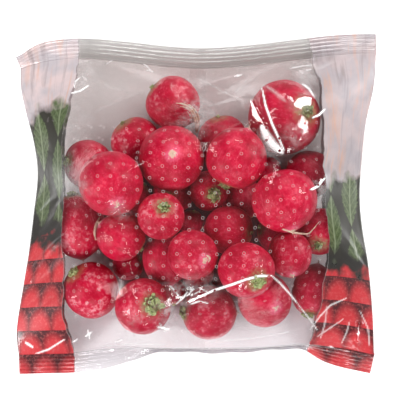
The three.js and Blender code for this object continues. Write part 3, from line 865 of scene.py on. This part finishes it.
def painted_glints(front):
    """How strongly each point of the film is painted white along its creases, as painted highlights where the
    folds would catch the lamps.
    """
    out = np.zeros(front.shape[:2])
    for line, half_width, strength in PAINTED_GLINT_LINES:
        nearest, share = line_place(front[..., :2], line)
        width = half_width * MM * tapered(share, 0.45)
        out = np.maximum(out, strength * np.clip(1.5 - nearest / width, 0, 1))
    return out


def calmed(front, taut_one):
    """The crumpled front drawn back towards the taut one in its calm places."""
    return front + (taut_one - front) * patched(front, CALM, SOFT)[..., None]


def print_place(front, along):
    """How far each point is across and along the tube laid flat, in mm, with the bands' edges in place."""
    rows, columns = front.shape[:2]
    across = np.linspace(0, 1, columns)
    u = np.empty((rows, columns))
    for j, row in enumerate(front):
        shares = [0.0]
        for edge in (LEFT_BAND, RIGHT_BAND):
            line = np.array(sorted((from_pixel(*pixel) for pixel in edge), key=lambda place: place[1]))
            past = row[:, 0] - np.interp(row[:, 1], line[:, 1], line[:, 0])
            shares.append(float(np.interp(0, past, across)))
        u[j] = np.interp(across, [*shares, 1.0], [0, BAND_WIDTH, FLAT_WIDTH - BAND_WIDTH, FLAT_WIDTH])
    v = np.repeat(along[:, None] * FLAT_LENGTH, columns, axis=1)
    return np.dstack([u, v])


def bag_object(name, front, back, front_uv):
    """One closed shell: the fine front and the coarser back, which share the points of the front's rim."""
    rows, columns = back.shape[0] - 1, back.shape[1] - 1
    stride = 2 * columns + 1
    inner = back[1:-1, 1:-1].reshape(-1, 3)
    places = np.vstack([front.reshape(-1, 3), inner])
    uvs = np.vstack([front_uv.reshape(-1, 2), front_uv[2:-2:2, 2:-2:2].reshape(-1, 2)])

    def of_front(j, i):
        return j * stride + i

    def of_back(j, i):
        if j in (0, rows) or i in (0, columns):
            return of_front(2 * j, 2 * i)
        return front.shape[0] * stride + (j - 1) * (columns - 1) + i - 1

    faces = [
        (of_front(j, i), of_front(j, i + 1), of_front(j + 1, i + 1), of_front(j + 1, i))
        for j in range(2 * rows)
        for i in range(2 * columns)
    ]
    for j in range(rows):
        for i in range(columns):
            face = [of_back(j, i)]
            face += [of_front(2 * j + 1, 0)] * (i == 0) + [of_back(j + 1, i)]
            face += [of_front(2 * rows, 2 * i + 1)] * (j == rows - 1) + [of_back(j + 1, i + 1)]
            face += [of_front(2 * j + 1, 2 * columns)] * (i == columns - 1) + [of_back(j, i + 1)]
            face += [of_front(0, 2 * i + 1)] * (j == 0)
            faces.append(tuple(face))
    return mesh_object(name, places, faces, uvs)


def mesh_object(name, places, faces, uvs):
    mesh = bpy.data.meshes.new(name)
    mesh.from_pydata(places.tolist(), [], faces)
    layer = mesh.uv_layers.new(name="laid_flat")
    corners = np.empty(len(mesh.loops), dtype=np.int32)
    mesh.loops.foreach_get("vertex_index", corners)
    layer.data.foreach_set("uv", (uvs[corners] / UV_UNIT).astype(np.float32).ravel())
    mesh.update()
    made = bpy.data.objects.new(name, mesh)
    bpy.context.collection.objects.link(made)
    return made


def eased(values, low, high):
    t = np.clip((values - low) / (high - low), 0, 1)
    return t * t * (3 - 2 * t)


def seal_object(name, end, root, heights, u):
    """One crimped seal: a strip with five ribs along it, turned under or up in places."""
    outward = 1 if end == "top" else -1
    columns = len(root)
    across = np.linspace(0, 1, columns)
    slope = np.gradient(root, axis=0)
    slope /= np.linalg.norm(slope, axis=1)[:, None]
    out = np.stack([-slope[:, 1], slope[:, 0], np.zeros(columns)], axis=1) * outward
    if end == "top":
        turn = CURLED_UP * np.exp(-((across / CURL_REACH) ** 2))
    else:
        turn = -CURLED_DOWN * eased(across, *LEFT_FOLD) * (1 - eased(across, *RIGHT_FOLD))
    turn = np.radians(turn)[:, None]
    up = np.array([0, 0, 1])
    away = out * np.cos(turn) + up * np.sin(turn)
    face = up * np.cos(turn) - out * np.sin(turn)
    distance = np.linspace(-SEAL_ROOT, SEAL_DEPTH, SEAL_STEPS + 1)
    beyond = np.clip(distance, 0, None)
    crimp = RIB_RISE * np.sin(np.pi * beyond / RIB_PITCH * 2) * (distance > 0.5 * RIB_PITCH)
    wave = sum(rise * np.sin(across * turns + start) for rise, turns, start in SEAL_WAVES)
    lift = crimp[:, None] + wave[None] * beyond[:, None] / SEAL_DEPTH
    base = np.column_stack([root, heights])
    places = base[None] + away[None] * distance[:, None, None] * MM + face[None] * lift[..., None] * MM
    places[..., 2] = np.maximum(places[..., 2], SEAL_REST)
    v = (FLAT_LENGTH if end == "top" else 0) + outward * distance
    uvs = np.dstack([np.repeat(u[None], len(distance), axis=0), np.repeat(v[:, None], columns, axis=1)])
    order = 1 if end == "top" else -1
    corners = (0, 1, columns + 1, columns)[::order]
    faces = [
        tuple(j * columns + i + corner for corner in corners)
        for j in range(SEAL_STEPS)
        for i in range(columns - 1)
    ]
    seal = mesh_object(name, places.reshape(-1, 3), faces, uvs.reshape(-1, 2))
    apply_modifier(seal, "SOLIDIFY", thickness=SEAL_THICKNESS, offset=0)
    return seal


SIMULATION_SCALE = 10
CONTACT = 0.3 * MM * SIMULATION_SCALE  # kept between the film and the blocks in the simulation
SLACK = 0.05  # as a share of the film's size
FRAMES = 24
AIR_LIFT, TAUT_PASSES = 0.0035 * MM, 400
BACK_PULL, BACK_PASSES = 0.0167 * MM, 300
FLOOR_GAP = 0.3 * MM
UV_UNIT = 100  # mm of film to one unit of its UV map
SEAL_DEPTH, SEAL_ROOT, SEAL_THICKNESS = 10.5, 0.8, 0.14 * MM
SEAL_STEPS = 36
SEAL_REST = 0.2 * MM  # the lowest that a seal may lie
SEAL_WAVES = [(0.5, 23, 1), (0.35, 61, 0)]  # rise in mm, radians from end to end, where each starts
RIB_PITCH, RIB_RISE = 2.1, 0.32
CURLED_UP, CURL_REACH = 50, 0.07  # degrees, and a share of the seal's length
CURLED_DOWN, LEFT_FOLD, RIGHT_FOLD = 76, (0.15, 0.42), (0.77, 0.95)
FACET_PASSES, FACET_FADE = 150, 0.975
SOFT, FIRM = 2, 4  # how suddenly a patch ends
FACETS = [  # pixels along the middle, half-width in mm, the lamp that it shows, pieces
    ([(250, 101), (256, 117), (264, 133), (272, 145), (280, 152)], 2.4, "left", 1),
    ([(294, 106), (302, 102), (311, 99)], 3.2, "right", 1),
    ([(300, 128), (307, 127)], 0.6, "right", 1),
    ([(308, 190), (315, 187), (319, 181), (324, 178)], 1.1, "right", 2),
    ([(188, 302), (196, 297), (206, 293)], 1.0, "near", 2),
    ([(193, 292), (200, 289)], 0.85, "left", 1),
    ([(168, 286), (174, 295)], 0.85, "left", 1),
    ([(86, 336), (90, 337)], 1.0, "near", 1),
    ([(116, 342), (121, 342)], 0.8, "near", 1),
    ([(160, 327), (168, 328)], 0.9, "near", 1),
    ([(160, 54), (176, 52), (195, 55)], 0.7, "far", 3),
    ([(205, 58), (228, 57)], 0.7, "far", 2),
    ([(360, 345), (361, 335), (362, 325)], 0.85, "right", 1),
]
PAINTED_GLINT_LINES = [  # pixels along the middle, half-width in mm, how white the film is painted there as a highlight
    ([(261, 127), (266, 137), (273, 146), (281, 153)], 2.0, 1.0),
    ([(262, 88), (265, 106), (271, 124), (283, 151)], 0.55, 1.0),
    ([(303, 84), (309, 88), (314, 97)], 0.5, 1.0), ([(312, 118), (319, 115), (325, 109)], 0.6, 1.0),
    ([(265, 85), (274, 92), (285, 102)], 1.0, 0.3), ([(308, 190), (315, 187), (324, 178)], 0.7, 0.9),
    ([(187, 302), (198, 296), (213, 289), (230, 283), (246, 277), (258, 274), (270, 274)], 0.62, 1.0),
    ([(270, 274), (278, 281), (288, 292), (297, 303)], 0.5, 0.9),
    ([(297, 303), (304, 312), (312, 322), (318, 331)], 0.4, 0.7),
    ([(176, 303), (183, 297), (188, 290)], 0.5, 0.7), ([(190, 303), (199, 300), (208, 302)], 0.5, 0.8),
    ([(170, 284), (176, 290), (181, 298)], 0.4, 0.7), ([(194, 293), (202, 288), (207, 290)], 0.4, 0.6),
    ([(84, 338), (91, 333)], 0.6, 0.8), ([(87, 331), (89, 340)], 0.5, 0.8),
    ([(114, 343), (122, 341)], 0.5, 0.7), ([(71, 344), (76, 341)], 0.5, 0.8),
    ([(158, 326), (170, 329)], 0.6, 0.9), ([(160, 322), (166, 331)], 0.4, 0.6),
    ([(157, 51), (170, 54), (184, 52)], 0.4, 0.6), ([(172, 56), (186, 55), (196, 53)], 0.5, 0.7),
    ([(205, 57), (228, 57)], 0.6, 0.8), ([(137, 57), (145, 63), (152, 70)], 0.35, 0.6),
    ([(144, 67), (152, 70)], 0.35, 0.5), ([(235, 75), (242, 73)], 0.6, 0.7),
    ([(290, 67), (304, 64), (316, 63)], 0.4, 0.7), ([(306, 69), (313, 68)], 0.4, 0.6),
    ([(70, 92), (79, 90), (88, 84)], 0.5, 1.0), ([(73, 87), (74, 80), (78, 76)], 0.5, 0.8),
    ([(80, 74), (86, 79)], 0.4, 0.6), ([(104, 62), (112, 57)], 0.4, 0.4),
    ([(200, 78), (222, 90), (246, 103)], 0.7, 0.16), ([(235, 92), (262, 70), (286, 61)], 0.8, 0.12),
    ([(95, 112), (122, 98), (140, 92)], 0.9, 0.1), ([(88, 70), (108, 86), (128, 92)], 0.8, 0.12),
    ([(311, 331), (321, 317), (331, 306), (348, 299)], 0.4, 0.55),
    ([(318, 339), (331, 330), (346, 320)], 0.35, 0.4), ([(344, 346), (349, 334), (352, 322)], 0.35, 0.35),
    ([(373, 349), (371, 330), (362, 312)], 0.35, 0.4), ([(32, 357), (46, 352), (63, 341)], 0.45, 0.7),
    ([(22, 345), (30, 350)], 0.6, 0.8), ([(100, 349), (130, 345), (165, 346)], 0.4, 0.3),
    ([(210, 343), (250, 340), (290, 333)], 0.4, 0.3), ([(328, 306), (326, 326), (322, 341)], 0.4, 0.35),
]
CALM = [  # pixel, radius in pixels, share of the crumpling that is drawn out
    ((130, 272), 22, 1.0), ((166, 266), 18, 1.0), ((186, 150), 42, 0.8), ((112, 188), 30, 0.6),
    ((264, 162), 16, 0.9), ((290, 204), 32, 0.6), ((90, 290), 22, 0.6), ((144, 312), 18, 0.6),
    ((295, 112), 30, 0.7), ((250, 300), 50, 0.6), ((362, 78), 22, 1.0), ((240, 262), 24, 0.8),
]
DULL = [  # pixel, radius in pixels, share of the gloss that rubbing has taken
    ((105, 262), 34, 1.0), ((96, 300), 26, 1.0), ((30, 322), 26, 1.0), ((357, 76), 26, 1.0),
    ((274, 90), 16, 0.9), ((150, 148), 26, 0.9), ((183, 143), 26, 0.9), ((120, 160), 24, 0.9),
    ((96, 191), 20, 0.9), ((264, 168), 14, 0.9), ((300, 188), 18, 0.7), ((283, 220), 16, 0.9),
    ((226, 275), 12, 0.9), ((345, 342), 20, 0.8), ((238, 140), 20, 0.8), ((352, 56), 16, 1.0),
    ((290, 75), 10, 0.8), ((50, 360), 40, 0.6), ((176, 84), 16, 0.7), ((342, 215), 30, 0.85),
    ((141, 318), 9, 1.0), ((124, 304), 8, 1.0), ((172, 95), 8, 1.0), ((290, 178), 16, 1.0),
    ((270, 104), 8, 1.0), ((108, 232), 14, 0.8), ((302, 186), 8, 1.0), ((52, 262), 16, 1.0),
    ((262, 292), 18, 0.9), ((90, 275), 20, 1.0), ((355, 100), 22, 0.9), ((215, 275), 12, 0.9),
]
MIST = [  # pixel, radius in pixels, strength of each misted patch
    ((196, 112), 18, 0.5), ((168, 310), 12, 0.5), ((140, 318), 12, 0.3), ((184, 292), 13, 0.5),
    ((204, 288), 12, 0.4), ((295, 135), 10, 0.6), ((300, 103), 10, 0.4), ((268, 150), 12, 0.25),
    ((120, 215), 10, 0.25), ((84, 188), 9, 0.4), ((70, 120), 22, 0.25), ((80, 75), 14, 0.5),
    ((305, 66), 16, 0.5), ((345, 335), 26, 0.4), ((330, 190), 14, 0.3),
]


FILM_INDEX = 1.8  # a sheet's two faces together reflect as much as one face of this index
TINT = {  # of what shows through the film, at its lower and upper ends, where it is clearest and in the seals; the film's own grey, with painted light at the lower end and painted shade at the upper end
    "low": (0.955, 0.95, 0.962),
    "high": (0.915, 0.895, 0.89),
    "clearest": (0.97, 0.965, 0.965),
    "foot": (0.86, 0.85, 0.865),
    "head": (0.755, 0.742, 0.733),
}
HEAD_START, HEAD_BLUR = 1.65, 0.006
CRINKLE_SLACK, CRINKLE_DRAWN, CRINKLE_DEPTH = 0.55, 0.12, 0.4 * MM
# how much the painted highlights along the creases glow
PAINTED_GLINT_GLOW = 0.42
MISTED = (0.66, 0.60, 0.60)
BAND_BLUR = 0.3  # mm
LEAVES_ACROSS, LEAVES_UP = 5.6, 2.9  # of the motifs to 100 mm
SCALES_ACROSS, SCALES_UP = 6.6, 7.4
PRINT = {
    "lilac": (0.66, 0.53, 0.53),
    "grey lilac": (0.52, 0.47, 0.50),
    "shade": (0.33, 0.29, 0.31),
    "warm streak": (0.66, 0.36, 0.24),
    "brown streak": (0.26, 0.21, 0.20),
    "dark leaf": (0.045, 0.065, 0.022),
    "light leaf": (0.11, 0.15, 0.065),
    "vein": (0.16, 0.20, 0.10),
    "rib": (0.24, 0.28, 0.17),
    "ground": (0.028, 0.026, 0.018),
    "gap": (0.020, 0.018, 0.015),
    "scale": (0.56, 0.030, 0.040),
    "scale edge": (0.07, 0.008, 0.012),
    "scale light": (0.66, 0.16, 0.15),
}
VENT_START, VENT_PITCH, VENT_COUNT = (38.5, 21.5), (6.55, 6.95), (20, 16)  # mm across and along the flat tube
VENT_RADIUS = 0.78  # mm
RIM_THICKNESS, RIM_OPACITY, RIM_SIDES, RIM_ROUNDNESS = 0.11, 0.28, 10, 4
SEAM_WIDTH, SEAM_DROP, SEAM_OPACITY = 9, 0.15 * MM, 0.05
MILKY = (0.92, 0.84, 0.84, 1)


def pale_print(add, flat, broad, right):
    """The pale upper part of the bands: lilac with thin warm and brown streaks, darker on the right."""
    slanted = {"Vector": flat, "Rotation": (0, 0, 0.35), "Scale": (26, 3.2, 1)}
    streak = noise(add, add("ShaderNodeMapping", slanted).outputs[0], 1, 3, Distortion=0.8)
    pale = blend_colours(add, ranged(add, broad, 0.4, 0.6), PRINT["lilac"], PRINT["grey lilac"])
    pale = blend_colours(add, maths(add, "MULTIPLY", right, 0.5), pale, PRINT["shade"])
    return layered(add, pale, (
        (streak, 0.54, 0.70, 0.60, PRINT["warm streak"]),
        (streak, 0.45, 0.28, 0.55, PRINT["brown streak"]),
    ))


def leaf_print(add, inward, v, fine):
    """Rows of pointed leaves with ribs and veins, on a dark ground."""
    across = maths(add, "MULTIPLY", inward, LEAVES_ACROSS)
    stagger = maths(add, "MULTIPLY", maths(add, "FLOOR", across), 0.5)
    along = maths(add, "FRACT", maths(add, "ADD", maths(add, "MULTIPLY", v, LEAVES_UP), stagger))
    side = maths(add, "ABSOLUTE", maths(add, "SUBTRACT", maths(add, "FRACT", across), 0.5))
    arch = maths(add, "SINE", maths(add, "MULTIPLY", along, math.pi))
    wide = maths(add, "MULTIPLY", arch, ranged(add, fine, 0.3, 0.7, 0.36, 0.50))
    leaf = ranged(add, maths(add, "SUBTRACT", wide, side), 0.0, 0.05)
    rib = maths(add, "MULTIPLY", ranged(add, side, 0.045, 0.02), 0.8)
    veins = maths(add, "SINE", maths(add, "MULTIPLY_ADD", side, -26, maths(add, "MULTIPLY", along, 44)))
    green = blend_colours(add, ranged(add, fine, 0.35, 0.65), PRINT["dark leaf"], PRINT["light leaf"])
    green = layered(add, green, [(veins, 0.4, 0.9, 0.5, PRINT["vein"])])
    return blend_colours(add, leaf, PRINT["ground"], blend_colours(add, rib, green, PRINT["rib"]))


def scale_print(add, inward, v, fine):
    """Rows of red round-ended scales, each row set half a scale over."""
    rows_up = maths(add, "MULTIPLY", v, SCALES_UP)
    shift = maths(add, "MULTIPLY", maths(add, "FLOOR", rows_up), 0.5)
    side = maths(add, "FRACT", maths(add, "MULTIPLY_ADD", inward, SCALES_ACROSS, shift))
    side = maths(add, "SUBTRACT", side, 0.5)
    up = maths(add, "FRACT", rows_up)
    flattened = maths(add, "MULTIPLY", up, maths(add, "MULTIPLY", up, 0.36))
    reach = maths(add, "SQRT", maths(add, "MULTIPLY_ADD", side, side, flattened))
    red = blend_colours(add, ranged(add, reach, 0.34, 0.60), PRINT["scale"], PRINT["scale edge"])
    return layered(add, red, [(fine, 0.5, 0.75, 0.6, PRINT["scale light"])])


def vent_holes(add, u, v):
    """1 in each vent hole and 0 elsewhere."""
    off = []
    for value, start, pitch, count in zip((u, v), VENT_START, VENT_PITCH, VENT_COUNT):
        steps = maths(add, "DIVIDE", maths(add, "SUBTRACT", value, start / UV_UNIT), pitch / UV_UNIT)
        nearest = maths(add, "MINIMUM", maths(add, "MAXIMUM", maths(add, "ROUND", steps), 0), count - 1)
        off.append(maths(add, "MULTIPLY", maths(add, "SUBTRACT", steps, nearest), pitch))
    squares = maths(add, "MULTIPLY_ADD", off[0], off[0], maths(add, "MULTIPLY", off[1], off[1]))
    return maths(add, "LESS_THAN", maths(add, "SQRT", squares), VENT_RADIUS)


def film_material():
    """Thin clear film with a sharp gloss, misted in patches, with vent holes, two printed side bands and
    painted highlights along its creases.
    """
    material = bpy.data.materials.new("clear_film")
    tree, add = node_set(material)
    printed = tree.nodes["Principled BSDF"]
    flat = add("ShaderNodeUVMap", uv_map="laid_flat").outputs[0]
    u, v, _ = add("ShaderNodeSeparateXYZ", {0: flat}).outputs
    place = add("ShaderNodeTexCoord").outputs["Object"]
    right = maths(add, "GREATER_THAN", u, FLAT_WIDTH / 2 / UV_UNIT)
    inward = maths(add, "MINIMUM", u, maths(add, "SUBTRACT", FLAT_WIDTH / UV_UNIT, u))
    broad = noise(add, flat, 7, 3)
    fine = noise(add, flat, 60, 4, Roughness=0.6)
    edge = maths(add, "ADD", inward, ranged(add, broad, 0.3, 0.7, -0.012, 0.012))
    band = ranged(add, edge, (BAND_WIDTH + BAND_BLUR) / UV_UNIT, (BAND_WIDTH - BAND_BLUR) / UV_UNIT)

    high = maths(add, "MULTIPLY", v, ranged(add, right, 0, 1, 1.0, 1.45))
    high = maths(add, "ADD", high, ranged(add, broad, 0.3, 0.7, -0.09, 0.09))
    art = blend_colours(add, ranged(add, high, 0.80, 0.74), leaf_print(add, inward, v, fine), PRINT["gap"])
    art = blend_colours(add, ranged(add, high, 1.34, 1.42), art, pale_print(add, flat, broad, right))
    art = blend_colours(add, ranged(add, high, 0.66, 0.60), art, scale_print(add, inward, v, fine))
    breath = noise(add, place, 160, 5, Roughness=0.7)
    mist = maths(add, "MULTIPLY", kept(add, "mist"), ranged(add, breath, 0.38, 0.66, smooth=True))
    mist = maths(add, "MAXIMUM", mist, ranged(add, breath, 0.5, 0.8, 0.0, 0.015))
    # Painted highlights: along the creases the film is white, opaque and glowing.
    painted_glint = maths(add, "MULTIPLY", kept(add, "painted_glint"), ranged(add, fine, 0.36, 0.50, 0.7, 1))
    under = blend_colours(add, band, MISTED, art)
    tree.links.new(blend_colours(add, painted_glint, under, (1, 1, 1)), printed.inputs["Base Color"])
    tree.links.new(blend_colours(add, painted_glint, (0, 0, 0), (1, 1, 1)), printed.inputs["Emission Color"])
    printed.inputs["Emission Strength"].default_value = PAINTED_GLINT_GLOW
    printed.inputs["Roughness"].default_value = 0.45
    ink = maths(add, "MULTIPLY", band, ranged(add, broad, 0.35, 0.65, 0.97, 0.88))
    opacity = maths(add, "MAXIMUM", maths(add, "MAXIMUM", mist, ink), painted_glint)

    # The film's own grey tint, painted lighter towards the lower end and darker towards the upper end for the
    # light and shade there.
    tint = blend_colours(add, ranged(add, v, 0.1, 1.2), TINT["low"], TINT["high"])
    tint = layered(add, tint, (
        (fine, 0.35, 0.65, 0.35, TINT["clearest"]),
        (v, 0, -0.01, 1, TINT["foot"]),
        (v, HEAD_START - HEAD_BLUR, HEAD_START + HEAD_BLUR, 1, TINT["head"]),
    ))
    clear = add("ShaderNodeBsdfTransparent", {"Color": tint})
    sheet = add("ShaderNodeMixShader", {0: opacity, 1: clear.outputs[0], 2: printed.outputs[0]})
    crinkle = noise(add, place, 130, 5, Roughness=0.62, Distortion=1.2)
    drawn = kept(add, "drawn")
    strength = ranged(add, drawn, 0, 1, CRINKLE_SLACK, CRINKLE_DRAWN)
    crinkled = add("ShaderNodeBump", {"Height": crinkle, "Strength": strength, "Distance": CRINKLE_DEPTH})
    gloss = add("ShaderNodeBsdfGlossy", {"Roughness": 0.05, "Normal": crinkled.outputs[0]})
    facing_back = add("ShaderNodeNewGeometry").outputs["Backfacing"]
    both_faces = ranged(add, facing_back, 0, 1, FILM_INDEX, 1 / FILM_INDEX)
    fresnel = add("ShaderNodeFresnel", {"IOR": both_faces}).outputs[0]
    unrubbed = ranged(add, maths(add, "SUBTRACT", kept(add, "dull"), drawn), 0, 0.9, 1, 0)
    mirrored = maths(add, "MULTIPLY", fresnel, unrubbed)
    film_mix = add("ShaderNodeMixShader", {0: mirrored, 1: sheet.outputs[0], 2: gloss.outputs[0]})
    open_air = add("ShaderNodeBsdfTransparent").outputs[0]
    whole = add("ShaderNodeMixShader", {0: vent_holes(add, u, v), 1: film_mix.outputs[0], 2: open_air})
    tree.links.new(whole.outputs[0], tree.nodes["Material Output"].inputs["Surface"])
    return material


def milky_material(name, opacity):
    """Film that has melted and set again, a little milky."""
    material = bpy.data.materials.new(name)
    tree, add = node_set(material)
    milky = tree.nodes["Principled BSDF"]
    milky.inputs["Base Color"].default_value = MILKY
    milky.inputs["Roughness"].default_value = 0.35
    clear = add("ShaderNodeBsdfTransparent")
    mix = add("ShaderNodeMixShader", {0: opacity, 1: clear.outputs[0], 2: milky.outputs[0]})
    tree.links.new(mix.outputs[0], tree.nodes["Material Output"].inputs["Surface"])
    return material


def vent_rims(name, front, flat_places):
    """The raised rims of the vent holes: one small ring for each, laid on the film's slope at its hole."""
    bpy.ops.mesh.primitive_torus_add(
        major_radius=VENT_RADIUS * MM,
        minor_radius=RIM_THICKNESS * MM,
        major_segments=RIM_SIDES,
        minor_segments=RIM_ROUNDNESS,
    )
    start = bpy.context.object
    ring = np.array([vertex.co for vertex in start.data.vertices])
    ring_faces = np.array([polygon.vertices for polygon in start.data.polygons])
    bpy.data.objects.remove(start)
    rows, columns = front.shape[:2]
    places, faces = [], []
    for n, m in np.ndindex(*VENT_COUNT):
        row = (VENT_START[1] + VENT_PITCH[1] * m) / FLAT_LENGTH * (rows - 1)
        j = int(row)
        column = np.interp(VENT_START[0] + VENT_PITCH[0] * n, flat_places[j, :, 0], np.arange(columns))
        i = int(column)
        corner = front[j, i]
        east, north = front[j, i + 1] - corner, front[j + 1, i] - corner
        middle = corner + (column - i) * east + (row - j) * north
        normal = np.cross(east, north)
        normal /= np.linalg.norm(normal)
        side = east / np.linalg.norm(east)
        turn = np.stack([side, np.cross(normal, side), normal])
        faces.append(ring_faces + len(ring) * len(places))
        places.append(ring @ turn + middle)
    places = np.vstack(places)
    return mesh_object(name, places, np.vstack(faces).tolist(), np.zeros((len(places), 2)))


def back_seam(name, back):
    """The tube's long lap seam, a narrow strip welded down the middle of its back."""
    rows, columns = back.shape[0] - 1, back.shape[1] - 1
    steps = np.arange(0, rows + 1, 2)
    middle = back[steps, columns // 2]
    offsets = np.array([-SEAM_WIDTH / 2, 0, SEAM_WIDTH / 2]) * MM
    places = np.array([(x + offset, y, z - SEAM_DROP) for x, y, z in middle for offset in offsets])
    faces = [
        (3 * j + i, 3 * j + 3 + i, 3 * j + 4 + i, 3 * j + 1 + i)
        for j in range(len(steps) - 1)
        for i in range(2)
    ]
    flat = np.column_stack([np.full(len(places), FLAT_WIDTH / 2), np.repeat(steps / rows * FLAT_LENGTH, 3)])
    return mesh_object(name, places, faces, flat)


plan = sheet_plan(SHEET_COLUMNS, SHEET_ROWS)
heap = joined(radish_blocks, "heap")
over = grown(heights_seen(heap, plan, ABOVE_ALL, -1, 0.0) + FILM_GAP, 1)
over[[0, -1]] = over[:, [0, -1]] = 0
taut_one = np.dstack([plan, taut_front(over)])
front = crumpled(taut_one, heap)
front = doubled(calmed(front, taut_one))
lowest = heights_seen(heap, front[..., :2], ABOVE_ALL, -1, 0.0) + FILM_GAP / 2
front, drawn = faceted(front, lowest)
under = heights_seen(heap, plan, BELOW_ALL, 1, 1.0) - FILM_GAP
bpy.data.objects.remove(heap)
back = np.dstack([plan, resting_back(front[::2, ::2, 2], under)])
flat_places = print_place(front, np.linspace(0, 1, 2 * SHEET_ROWS + 1))
tube = bag_object("film_tube", front, back, flat_places)
marks = {
    "mist": patched(front, MIST, SOFT),
    "dull": patched(front, DULL, FIRM),
    "drawn": np.where(drawn, 1.0, 0.0),
    "painted_glint": painted_glints(front),
}
for name, values in marks.items():
    keep_float(tube.data, name, np.concatenate([values.ravel(), np.zeros(back[1:-1, 1:-1, 0].size)]))
bottom, top = (
    seal_object(f"seal_{end}", end, front[row, :, :2], front[row, :, 2], flat_places[row, :, 0])
    for end, row in (("bottom", 0), ("top", -1))
)
rims = vent_rims("vent_rims", front, flat_places)
seam = back_seam("back_seam", back)
film = film_material()
for piece in (tube, bottom, top):
    piece.data.materials.append(film)
rims.data.materials.append(milky_material("vent_rim", RIM_OPACITY))
seam.data.materials.append(milky_material("lap_seam", SEAM_OPACITY))
for piece in (tube, bottom, top, seam, rims):
    only(piece)
    bpy.ops.object.shade_smooth()
    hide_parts("film_bag")
    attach(piece, "root")
